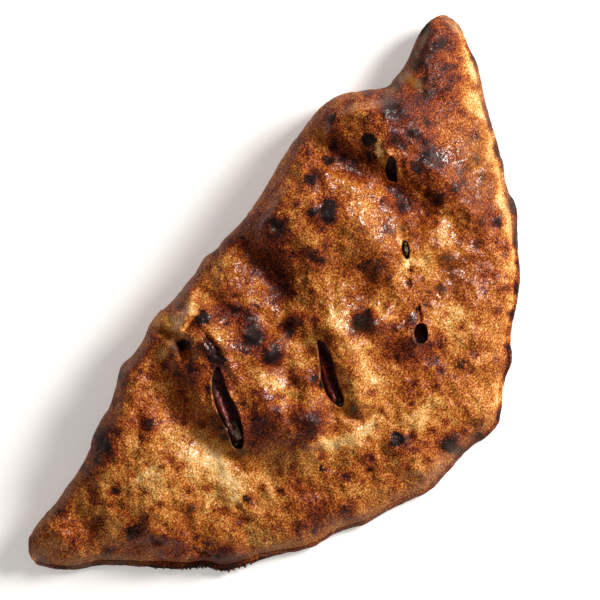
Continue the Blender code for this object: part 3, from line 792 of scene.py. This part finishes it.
def add_vent(skin, loop):
    """A torn lip that rolls down into the cut. Returns its outer ring and its inner edge."""
    outward, torn = lit_torn_side(loop)
    width = LIP_NARROW + (LIP_WIDE - LIP_NARROW) * torn
    rings = []
    for share, drop in LIP_STEPS:
        ring = loop + outward * (width * share)[:, None]
        place = Place(ring)
        height = crust_height(place) - drop
        kind = TOP if share == 1.0 else LIP
        rings.append(skin.add(np.column_stack([ring, height]), kind, torn))
    place = Place(loop)
    roof = smooth_height(place, SMOOTH_INSIDE) - DOUGH_THICKNESS
    rings.append(skin.add(np.column_stack([loop, roof]), WALL, torn))
    return rings


def make_crust():
    skin = Skin()
    edge = even_loop(OUTLINE, EDGE_SPACING)[::-1]
    rings = side_rings(edge)
    kinds = [BASE] + [SIDE] * (len(rings) - 2) + [TOP]
    levels = [skin.add(ring, kind) for ring, kind in zip(rings, kinds)]
    strip = Strip((0.01, 0.225), 0.97, 0.092, 3, len(levels) - 1)
    for lower, upper in zip(levels, levels[1:]):
        skin.bridge(lower, upper, strip)

    vents = [add_vent(skin, loop) for loop in VENT_LOOPS]
    for number, vent in enumerate(vents):
        strip = Strip((0.47, 0.115 + 0.02 * number), 0.5, 0.018, 1, len(vent) - 1)
        for upper, lower in reversed(list(zip(vent, vent[1:]))):
            skin.bridge(lower, upper, strip)

    flat = skin.all_points()
    holes = [flat[vent[0], :2] for vent in vents]
    grid = top_points(flat[levels[-1], :2], holes)
    place = Place(grid)
    inner = skin.add(np.column_stack([grid, crust_height(place)]), TOP)
    skin.fill([levels[-1]] + [vent[0] for vent in vents], inner, TOP_SHEET, upwards=True)

    grid = points_within(rings[0][:, :2], [], BASE_SPACING, 0.5 * BASE_SPACING)
    inner = skin.add(np.column_stack([grid, np.zeros(len(grid))]), BASE)
    skin.fill([levels[0]], inner, BASE_SHEET, upwards=False)

    wall = even_loop(smooth_path(CAVITY_EDGE, closed=True), INNER_SPACING)
    wall_place = Place(wall)
    roof = smooth_height(wall_place, SMOOTH_INSIDE) - DOUGH_THICKNESS
    low = skin.add(np.column_stack([wall, np.full(len(wall), CAVITY_FLOOR)]), INSIDE)
    high = skin.add(np.column_stack([wall, roof]), INSIDE)
    skin.bridge(low, high, Strip((0.93, 0.005), 0.06, 0.1, 1, 1))
    openings = [flat[vent[-1], :2] for vent in vents]
    grid = points_within(wall, openings, INNER_SPACING, 0.5)
    place = Place(grid)
    roof = smooth_height(place, SMOOTH_INSIDE) - DOUGH_THICKNESS
    inner = skin.add(np.column_stack([grid, roof]), INSIDE)
    skin.fill([high] + [vent[-1] for vent in vents], inner, ROOF_SHEET, upwards=False)
    grid = points_within(wall, [], INNER_SPACING, 0.5 * INNER_SPACING)
    inner = skin.add(np.column_stack([grid, np.full(len(grid), CAVITY_FLOOR)]), INSIDE)
    skin.fill([low], inner, FLOOR_SHEET, upwards=True)

    low_corner, high_corner = [np.array(corner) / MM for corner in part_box("crust")]
    for part in skin.points:
        np.clip(part, low_corner, high_corner, out=part)
    crust = skin.make("baked_crust")
    paint_crust(crust.data, skin)
    return crust


# ---------------------------------------------------------------- the filling

def filling_height(points):
    """The filling lies under the roof, sinks under the vents and bulges up in two of them."""
    place = Place(points)
    height = smooth_height(place, SMOOTH_INSIDE) - DOUGH_THICKNESS - FILLING_GAP
    lumps = 0.9 * grain(points, 7, 3, 80) + 0.35 * grain(points, 2.2, 2, 81)
    height += np.minimum(lumps, 0) - 0.3
    for centre_x, centre_y, half_length, half_width, depth in SUNK_FILLING:
        height -= depth * ellipse_falloff(points, centre_x, centre_y, half_length, half_width, VENT_TURN)
    for centre_x, centre_y, half_length, half_width, rise, _ in RAISED_FILLING:
        bulge = ellipse_falloff(points, centre_x, centre_y, half_length, half_width, VENT_TURN)
        height += bulge * (rise + 0.5 * grain(points, 1.8, 2, 82))
    return np.maximum(height, CAVITY_FLOOR + 2.0)


def make_filling():
    skin = Skin()
    edge = even_loop(smooth_path(CAVITY_EDGE, closed=True), INNER_SPACING)[::-1]
    edge = edge + inward_normals(edge, 3) * FILLING_GAP
    low = skin.add(np.column_stack([edge, np.full(len(edge), CAVITY_FLOOR + FILLING_GAP)]), BASE)
    high = skin.add(np.column_stack([edge, filling_height(edge)]), SIDE)
    skin.bridge(low, high, Strip((0.01, 0.45), 0.97, 0.05, 1, 1))
    skin.fill([low], np.zeros(0, int), Sheet((0.01, 0.02), 0.98 / 300, (-150, -75)), upwards=False)
    plain = points_within(edge, [], INNER_SPACING, 0.5 * INNER_SPACING)
    fine = points_within(edge, [], FINE_SPACING, 0.5)
    grid = np.vstack([plain[vent_distances(plain) > 3.0],
                      fine[(vent_distances(fine) <= 3.0)]])
    inner = skin.add(np.column_stack([grid, filling_height(grid)]), TOP)
    skin.fill([high], inner, Sheet((0.01, 0.51), 0.98 / 300, (-150, -75)), upwards=True)
    filling = skin.make("tomato_filling")
    points = skin.all_points()[:, :2]
    sauce = sum(red * ellipse_falloff(points, centre_x, centre_y, 1.2 * half_length, 1.4 * half_width,
                                      VENT_TURN)
                for centre_x, centre_y, half_length, half_width, _, red in RAISED_FILLING)
    store(filling.data, "sauce", sauce, sauce, sauce)
    return filling


def filling_material():
    material, tree, shader = new_material("tomato_filling")
    where = add_node(tree, "ShaderNodeTexCoord").outputs["Object"]
    pulp = noise_at(tree, where, 2.6, 3.0, 0.65)
    seeds = noise_at(tree, where, 0.9, 2.0, 0.6)
    sauce = add_node(tree, "ShaderNodeAttribute", attribute_name="sauce").outputs["Fac"]
    pulpy = maths(tree, "ADD", pulp, centred(tree, seeds, 0.8))
    red = colour_ramp(tree, pulpy, [(0.30, (50, 14, 16)), (0.46, (120, 20, 20)), (0.60, (176, 28, 22)),
                                    (0.78, (190, 96, 70))])
    # Painted shade: the sunk filling takes a mauve-grey that stands for sauce in shade, and the raised, lit bulges
    # are red.
    shaded_sauce = colour_ramp(tree, pulpy, [(0.30, (92, 54, 56)), (0.70, (150, 104, 104))])
    tree.links.new(mixed(tree, sauce, shaded_sauce, red), shader.inputs["Base Color"])
    shader.inputs["Roughness"].default_value = 0.16
    shader.inputs["Coat Weight"].default_value = 0.5
    shader.inputs["Coat Roughness"].default_value = 0.08
    bump = add_node(tree, "ShaderNodeBump", {"Height": maths(tree, "ADD", pulp, seeds),
                                             "Strength": 1.0, "Distance": 0.5 * MM})
    tree.links.new(bump.outputs["Normal"], shader.inputs["Normal"])
    return material


def bit_material(name, dark, light, roughness):
    """A mottled, slightly wet finish for a bit of cheese or herb."""
    material, tree, shader = new_material(name)
    where = add_node(tree, "ShaderNodeTexCoord").outputs["Object"]
    mottle = noise_at(tree, where, 1.1, 3.0, 0.6)
    colour = colour_ramp(tree, mottle, [(0.30, dark), (0.70, light)])
    tree.links.new(colour, shader.inputs["Base Color"])
    shader.inputs["Roughness"].default_value = roughness
    bump = add_node(tree, "ShaderNodeBump", {"Height": mottle, "Strength": 0.8, "Distance": 0.4 * MM})
    tree.links.new(bump.outputs["Normal"], shader.inputs["Normal"])
    return material


def lump_mesh(centre, radii, direction, layer, fineness=4):
    """A rounded uneven lump as a bmesh, in metres."""
    shape = bmesh.new()
    bmesh.ops.create_icosphere(shape, subdivisions=fineness, radius=1.0)
    turn = Matrix.Rotation(math.radians(direction), 3, "Z")
    shift = Vector((layer * 3.7, layer * 1.9, 0.0))
    for vertex in shape.verts:
        swell = 1 + 0.34 * noise.fractal(vertex.co * 1.3 + shift, 1.0, 2.0, 3)
        spot = Vector([value * radius * swell for value, radius in zip(vertex.co, radii)])
        vertex.co = (turn @ spot + Vector(centre)) * MM
    return shape


def sunk_bits(bits, layer):
    """Lumps in the filling under the vents."""
    for number, (x, y, depth, radii, direction) in enumerate(bits):
        surface = crust_height(Place(np.array([[x, y]])))[0]
        yield lump_mesh((x, y, surface - depth), radii, direction, number + layer)


def edge_crumbs():
    """Small crumbs half sunk in the sealed edge."""
    chance = np.random.default_rng(SEED + 2)
    outward = -inward_normals(OUTLINE, 1)
    ends = [np.hypot(*(OUTLINE - np.array(spot)).T).argmin() for spot in (CRUMBS_FROM, CRUMBS_TO)]
    for number in range(CRUMB_COUNT):
        position = chance.integers(min(ends), max(ends))
        radius = chance.uniform(*CRUMB_SIZE)
        x, y = OUTLINE[position] + outward[position] * radius * chance.uniform(0.1, 0.7)
        height = chance.uniform(*CRUMB_HEIGHTS)
        radii = (radius, radius * chance.uniform(0.5, 1.0), radius * chance.uniform(0.5, 0.9))
        yield lump_mesh((x, y, height), radii, chance.uniform(0, 180), number, fineness=3)


def make_bits(name, lumps, material):
    """All the lumps of one kind, as one piece."""
    whole = bmesh.new()
    for lump in lumps:
        part = bpy.data.meshes.new("part")
        lump.to_mesh(part)
        lump.free()
        whole.from_mesh(part)
        bpy.data.meshes.remove(part)
    mesh = bpy.data.meshes.new(name)
    whole.to_mesh(mesh)
    whole.free()
    mesh.shade_smooth()
    mesh.materials.append(material)
    piece = bpy.data.objects.new(name, mesh)
    bpy.context.collection.objects.link(piece)
    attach(piece, "root")
    return piece


# ---------------------------------------------------------------- the crust's browning

def wandered(points):
    """The points pushed about a little, so that patches get irregular edges."""
    wide = np.column_stack([grain(points, 13, 2, 60), grain(points, 13, 2, 61)]) * 3.0
    close = np.column_stack([grain(points, 3.4, 2, 62), grain(points, 3.4, 2, 63)]) * 0.9
    return points + wide + close


def slightly_wandered(points):
    return points + np.column_stack([grain(points, 2.8, 2, 64), grain(points, 2.8, 2, 65)]) * 0.7


def browning(points, height):
    """How brown the crust is at each point, with painted shade, painted highlights and a painted light band added
    in: about 0 is pale dough and 1 is nearly black.
    """
    moved = wandered(points)
    brown = np.full(len(points), BROWN_BASE)
    # Patches add browning, and also painted shade on slopes turned from the key and painted highlights on lit
    # flanks.
    for centre_x, centre_y, half_length, half_width, direction, amount in BROWNING_AND_LIGHT_PATCHES:
        brown += amount * ellipse_falloff(moved, centre_x, centre_y, half_length, half_width, direction)
    # Painted light: a paler band on the right rim's slope that faces the key.
    band = distance_to(smooth_path(LIT_RIM_BAND, closed=False), moved)
    brown -= LIT_RIM_BAND_AMOUNT * np.exp(-(band / LIT_RIM_BAND_WIDTH) ** 2)
    brown += 0.09 * grain(points, 11, 2, 66) + 0.04 * grain(points, 4, 2, 67)
    close = slightly_wandered(points)
    for centre_x, centre_y, radius, strength in SCORCHES:
        halo = 1.6 * radius
        brown += 0.34 * strength * ellipse_falloff(close, centre_x, centre_y, halo, halo, 0)
    for centre_x, centre_y, radius in scattered(SMALL_SPOTS, SMALL_SPOT_SIZE, SEED + 1):
        near = np.hypot(close[:, 0] - centre_x, close[:, 1] - centre_y) < 2.5 * radius
        spot = ellipse_falloff(close[near], centre_x, centre_y, radius, radius, 0)
        brown[near] += SMALL_SPOT_AMOUNT * min(radius / 1.2, 1.0) * spot
    for centre_x, centre_y, half_length, direction in LIP_BLISTERS:
        spot = ellipse_falloff(close, centre_x, centre_y, half_length, 1.5, direction)
        brown += 0.6 * spot
    return brown


def scorching(points):
    close = slightly_wandered(points)
    char = np.zeros(len(points))
    for centre_x, centre_y, radius, strength in SCORCHES:
        distance = np.hypot(close[:, 0] - centre_x, close[:, 1] - centre_y) / radius
        char = np.maximum(char, strength * smooth_step(1.7 - distance))
    return char


def covered(points, patches):
    """How much of something lies at each point, from patches with irregular edges."""
    moved = slightly_wandered(points)
    share = np.zeros(len(points))
    for centre_x, centre_y, half_length, half_width, direction, amount in patches:
        share = np.maximum(share, amount * ellipse_falloff(moved, centre_x, centre_y, half_length,
                                                           half_width, direction))
    return share


BROWN_BASE = 0.44


def paint_crust(mesh, skin):
    """Store the browning, the painted shade and painted light, and the other finishes at every vertex, for the
    material to read.
    """
    points = skin.all_points()
    kinds = np.concatenate(skin.kinds)
    flat = points[:, :2]
    outer = (kinds == TOP) | (kinds == SIDE) | (kinds == LIP) | (kinds == BASE)
    brown = np.full(len(points), 0.35)
    char = np.zeros(len(points))
    oil = np.zeros(len(points))
    brown[outer] = browning(flat[outer], points[outer, 2])
    char[outer] = scorching(flat[outer])
    oil[outer] = covered(flat[outer], OILY)
    yellow = np.zeros(len(points))
    yellow[outer] = covered(flat[outer], YELLOWED)
    side = kinds == SIDE
    place = Place(flat[side])
    # Flour dust and painted grey shade on the low folded side, which faces away from the key.
    dust_and_shade = np.zeros(len(points))
    low = smooth_step((DUST_AND_SHADE_HEIGHT - points[side, 2]) / 8.0)
    dust_and_shade[side] = 0.16 * low * place.fold_share
    dust_and_shade[side] *= 0.6 + 0.6 * np.clip(grain(points[side], 8, 3, 70), -1, 1)
    dust_and_shade[side] *= smooth_step((138 - np.abs(points[side, 0])) / 20)
    lip = (1 - place.fold_share) * smooth_step((5.4 - points[side, 2]) / 0.8)
    brown[side] += 0.28 * lip + 0.10 * place.fold_share
    matt = np.zeros(len(points))
    matt[outer] = covered(flat[outer], DRY)
    matt[side] = 1.0
    dust_and_shade[kinds == TOP] = covered(flat[kinds == TOP], DUSTY)
    dust_and_shade[side] = np.maximum(dust_and_shade[side], covered(flat[side], DUSTY))
    # Painted shade: the sealed lip on the left, which faces away from the key, is darkened with the char colour.
    painted_lip_shade = lip * smooth_step((LIP_SHADE_FROM - points[side, 0]) / 24.0)
    char[side] = np.maximum(char[side], painted_lip_shade * np.clip(0.6 + 0.7 * grain(points[side], 6, 3, 72), 0, 1))
    base = kinds == BASE
    brown[base] = 0.55 + 0.15 * grain(points[base], 12, 3, 71)
    char[base] = 0
    # Painted light: pale cut dough on the vents' lips, real in colour but painted only on the side that faces the
    # key.
    cut = np.where(kinds == LIP, 1.0, np.where(kinds == WALL, 0.6, 0.0))
    cut *= 0.85 * skin.all_lit_torn()
    cut[cut > 0] *= np.clip(0.45 + 1.1 * grain(points[cut > 0], 5, 2, 90), 0, 1)
    brown[kinds == LIP] += 0.12
    # Painted shade: the cavity and the vents' walls get a dark colour.
    inside = np.where(kinds == INSIDE, 1.0, np.where(kinds == WALL, 0.7, 0.0))
    store(mesh, "bake", brown, char, oil)
    # The dough attribute holds flour dust with painted grey shade, pale cut dough painted on the lit side, and
    # painted shade inside.
    store(mesh, "dough", dust_and_shade, cut, inside)
    store(mesh, "finish", yellow, matt, np.zeros(len(points)))


def store(mesh, name, red, green, blue):
    layer = mesh.color_attributes.new(name, "FLOAT_COLOR", "POINT")
    values = np.column_stack([red, green, blue, np.ones(len(red))])
    layer.data.foreach_set("color", np.clip(values, 0, 2).ravel())


# ---------------------------------------------------------------- materials

def new_material(name):
    material = bpy.data.materials.new(name)
    material.use_nodes = True
    tree = material.node_tree
    return material, tree, tree.nodes["Principled BSDF"]


def add_node(tree, kind, inputs=None, **settings):
    """A node with its settings, and its inputs set to values or linked to other outputs."""
    made = tree.nodes.new(kind)
    for name, value in settings.items():
        setattr(made, name, value)
    for key, value in (inputs or {}).items():
        if isinstance(value, bpy.types.NodeSocket):
            tree.links.new(value, made.inputs[key])
        else:
            made.inputs[key].default_value = value
    return made


def maths(tree, operation, first, second=0.0, clamp=False):
    return add_node(tree, "ShaderNodeMath", {0: first, 1: second}, operation=operation,
                    use_clamp=clamp).outputs[0]


def noise_at(tree, where, wavelength, detail=2.0, roughness=0.55):
    """Noise whose lumps are about a wavelength wide, in millimetres."""
    return add_node(tree, "ShaderNodeTexNoise",
                    {"Vector": where, "Scale": 1 / (wavelength * MM), "Detail": detail,
                     "Roughness": roughness}).outputs["Fac"]


def centred(tree, value, amount):
    """A 0 to 1 value turned into one about zero, times an amount."""
    shifted = maths(tree, "SUBTRACT", value, 0.5)
    return maths(tree, "MULTIPLY", shifted, amount)


def linear(red, green, blue):
    """A display colour, 0 to 255, as the shader's linear one."""
    def bent(level):
        level = level / 255
        return level / 12.92 if level <= 0.04045 else ((level + 0.055) / 1.055) ** 2.4
    return (bent(red), bent(green), bent(blue), 1.0)


def colour_ramp(tree, value, stops):
    ramp = add_node(tree, "ShaderNodeValToRGB", {"Fac": value})
    elements = ramp.color_ramp.elements
    elements[0].position = stops[0][0]
    elements[0].color = linear(*stops[0][1])
    elements[1].position = stops[-1][0]
    elements[1].color = linear(*stops[-1][1])
    for position, colour in stops[1:-1]:
        elements.new(position).color = linear(*colour)
    return ramp.outputs["Color"]


def mixed(tree, share, first, second):
    """Blend two colours by a share from 0 to 1."""
    blend = add_node(tree, "ShaderNodeMix", data_type="RGBA")
    for socket, value in (("Factor_Float", share), ("A_Color", first), ("B_Color", second)):
        target = next(entry for entry in blend.inputs if entry.identifier == socket)
        if isinstance(value, bpy.types.NodeSocket):
            tree.links.new(value, target)
        else:
            target.default_value = value
    return next(entry for entry in blend.outputs if entry.identifier == "Result_Color")


# Baked dough from pale to nearly black.
BROWN_STOPS = [(0.0, (242, 206, 152)), (0.12, (230, 182, 112)), (0.26, (207, 143, 66)),
               (0.42, (178, 99, 30)), (0.60, (134, 53, 13)), (0.78, (84, 26, 9)), (1.0, (30, 9, 8))]
# Char colour, also used as painted shade on the left sealed lip.
CHAR_COLOUR = linear(24, 8, 7)
# Grey-brown of flour dust, also used as painted shade on the folded side.
DUST_AND_SHADE_COLOUR = linear(150, 124, 106)
YELLOW_COLOUR = linear(172, 122, 28)
# Pale cut dough, painted only on the vents' lit side.
LIT_CUT_DOUGH_COLOUR = linear(214, 158, 100)
# Painted shade for the cavity and the vents' walls.
SHADED_INSIDE_COLOUR = linear(98, 52, 54)


def crust_material():
    material, tree, shader = new_material("baked_crust")
    where = add_node(tree, "ShaderNodeTexCoord").outputs["Object"]
    bake = add_node(tree, "ShaderNodeSeparateColor",
                    {"Color": add_node(tree, "ShaderNodeAttribute", attribute_name="bake").outputs["Color"]})
    dough = add_node(tree, "ShaderNodeSeparateColor",
                     {"Color": add_node(tree, "ShaderNodeAttribute", attribute_name="dough").outputs["Color"]})
    finish = add_node(tree, "ShaderNodeSeparateColor",
                      {"Color": add_node(tree, "ShaderNodeAttribute", attribute_name="finish").outputs["Color"]})
    yellow, matt, _ = finish.outputs
    brown, char, oil = bake.outputs
    dust_and_shade, cut, inside = dough.outputs
    mottle = noise_at(tree, where, 5.0, 3.0)
    speck = noise_at(tree, where, 2.3, 2.0, 0.5)
    pore = noise_at(tree, where, 0.72, 0.5, 0.5)
    crinkle = noise_at(tree, where, 1.3, 1.0, 0.5)
    glaze = add_node(tree, "ShaderNodeMapRange", {"Value": crinkle, "From Min": 0.45, "From Max": 0.60})
    glaze = maths(tree, "MULTIPLY", glaze.outputs["Result"], maths(tree, "SUBTRACT", 1.0, maths(tree, "MULTIPLY", matt, 0.55)))

    # The brown channel holds browning together with painted shade and painted highlights.
    index = maths(tree, "ADD", brown, centred(tree, mottle, 0.20))
    index = maths(tree, "ADD", index, centred(tree, speck, 0.18))
    index = maths(tree, "SUBTRACT", index, centred(tree, pore, 1.02))
    colour = colour_ramp(tree, index, BROWN_STOPS)
    colour = mixed(tree, maths(tree, "MULTIPLY", yellow, 0.5), colour, YELLOW_COLOUR)
    crackle = maths(tree, "ADD", char, centred(tree, speck, 0.7))
    crackle = maths(tree, "SUBTRACT", crackle, centred(tree, pore, 0.9))
    crackle = add_node(tree, "ShaderNodeMapRange", {"Value": crackle, "From Min": 0.50, "From Max": 0.85})
    crackle = crackle.outputs["Result"]
    colour = mixed(tree, crackle, colour, CHAR_COLOUR)
    # Flour dust, and painted grey shade on the folded side.
    powder_and_shade = maths(tree, "MULTIPLY", dust_and_shade, maths(tree, "ADD", speck, 0.35), clamp=True)
    colour = mixed(tree, powder_and_shade, colour, DUST_AND_SHADE_COLOUR)
    # Pale cut dough, painted on the vents' lit side only.
    lit_crumb = maths(tree, "MULTIPLY", cut, maths(tree, "SUBTRACT", 1.15, index), clamp=True)
    colour = mixed(tree, lit_crumb, colour, LIT_CUT_DOUGH_COLOUR)
    # Painted shade inside the cavity and on the vents' walls.
    colour = mixed(tree, inside, colour, SHADED_INSIDE_COLOUR)
    tree.links.new(colour, shader.inputs["Base Color"])

    shader.inputs["Specular IOR Level"].default_value = 0.16
    rough = maths(tree, "ADD", 0.50, centred(tree, speck, 0.20))
    rough = maths(tree, "ADD", rough, maths(tree, "MULTIPLY", dust_and_shade, 0.30))
    rough = maths(tree, "ADD", rough, maths(tree, "MULTIPLY", crackle, 0.25))
    rough = maths(tree, "ADD", rough, maths(tree, "MULTIPLY", matt, 0.20))
    tree.links.new(rough, shader.inputs["Roughness"])

    film = maths(tree, "ADD", 0.45, maths(tree, "MULTIPLY", glaze, 0.9))
    film = maths(tree, "MULTIPLY", film, oil)
    film = maths(tree, "ADD", film, maths(tree, "MULTIPLY", glaze, 0.22), clamp=True)
    film = maths(tree, "MULTIPLY", film, maths(tree, "SUBTRACT", 1.0, maths(tree, "MULTIPLY", crackle, 0.85)))
    tree.links.new(film, shader.inputs["Coat Weight"])
    shader.inputs["Coat Roughness"].default_value = 0.17

    rugged = maths(tree, "ADD", 0.21, maths(tree, "MULTIPLY", crackle, 0.08))
    rugged = maths(tree, "ADD", rugged, maths(tree, "MULTIPLY", oil, 0.08))
    surface = maths(tree, "MULTIPLY", speck, 0.36)
    surface = maths(tree, "ADD", surface, maths(tree, "MULTIPLY", pore, rugged))
    bump = add_node(tree, "ShaderNodeBump", {"Height": surface, "Strength": 1.0, "Distance": MM})
    tree.links.new(bump.outputs["Normal"], shader.inputs["Normal"])
    wrinkles = maths(tree, "ADD", maths(tree, "MULTIPLY", speck, 0.36), maths(tree, "MULTIPLY", crinkle, 0.34))
    creased = add_node(tree, "ShaderNodeBump", {"Height": wrinkles, "Strength": 1.0, "Distance": MM})
    tree.links.new(creased.outputs["Normal"], shader.inputs["Coat Normal"])
    return material


# ---------------------------------------------------------------- the stage

LOOK_AT = (11.6, 27.2, 8.0)
CAMERA_DISTANCE = 5000.0
PICTURE_WIDTH = 253.1
CAMERA_TURN = -52.0
KEY_DIRECTION = -22.0
KEY_ELEVATION = 34.0
KEY_DISTANCE = 2600.0
KEY_SIZE = 900.0
KEY_POWER = 97.0
FILL_LIGHT = 0.21
FLOOR_GLOW = 0.36


def make_stage():
    bpy.ops.mesh.primitive_plane_add(size=6, location=(0, 0, -0.0002))
    floor = bpy.context.object
    floor.name = "floor"
    material, tree, shader = new_material("pale_floor")
    where = add_node(tree, "ShaderNodeTexCoord").outputs["Object"]
    cloud = noise_at(tree, where, 90.0, 2.0)
    shade = maths(tree, "ADD", 0.90, centred(tree, cloud, 0.02))
    colour = add_node(tree, "ShaderNodeCombineColor", {"Red": shade, "Green": shade, "Blue": shade})
    tree.links.new(colour.outputs["Color"], shader.inputs["Base Color"])
    shader.inputs["Roughness"].default_value = 0.8
    shader.inputs["Emission Color"].default_value = (1.0, 0.98, 0.96, 1.0)
    shader.inputs["Emission Strength"].default_value = FLOOR_GLOW
    floor.data.materials.append(material)

    lamp = bpy.data.lights.new("key", "AREA")
    lamp.shape = "SQUARE"
    lamp.size = KEY_SIZE * MM
    lamp.energy = KEY_POWER
    lamp.color = (1.0, 0.97, 0.93)
    key = bpy.data.objects.new("key", lamp)
    bpy.context.collection.objects.link(key)
    across, up = math.radians(KEY_DIRECTION), math.radians(KEY_ELEVATION)
    towards = Vector((math.cos(up) * math.cos(across), math.cos(up) * math.sin(across), math.sin(up)))
    key.location = Vector((0, 0, 20 * MM)) + towards * KEY_DISTANCE * MM
    key.rotation_euler = towards.to_track_quat("Z", "Y").to_euler()

    world = bpy.data.worlds.new("studio")
    bpy.context.scene.world = world
    world.use_nodes = True
    world.node_tree.nodes["Background"].inputs["Color"].default_value = (1.0, 0.93, 0.84, 1.0)
    world.node_tree.nodes["Background"].inputs["Strength"].default_value = FILL_LIGHT
    bpy.context.scene.view_settings.view_transform = "Standard"

    lens = bpy.data.cameras.new("camera")
    lens.lens = lens.sensor_width * CAMERA_DISTANCE / PICTURE_WIDTH
    lens.clip_start = 0.05
    camera = bpy.data.objects.new("camera", lens)
    bpy.context.collection.objects.link(camera)
    camera.location = Vector(LOOK_AT) * MM + Vector((0, 0, CAMERA_DISTANCE * MM))
    camera.rotation_euler = (0, 0, math.radians(CAMERA_TURN))
    bpy.context.scene.camera = camera


make_stage()

crust = make_crust()
crust.data.materials.append(crust_material())
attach(crust, "root")
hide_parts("crust")

filling = make_filling()
filling.data.materials.append(filling_material())
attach(filling, "root")
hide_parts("filling")
make_bits("cheese", sunk_bits(CHEESE_BITS, 6),
          bit_material("cheese", (96, 84, 62), (188, 168, 142), 0.35))
make_bits("herbs", sunk_bits(HERB_BITS, 5),
          bit_material("herbs", (18, 20, 8), (104, 92, 36), 0.3))
make_bits("crumbs", edge_crumbs(),
          bit_material("crumbs", (34, 14, 10), (150, 92, 62), 0.7))
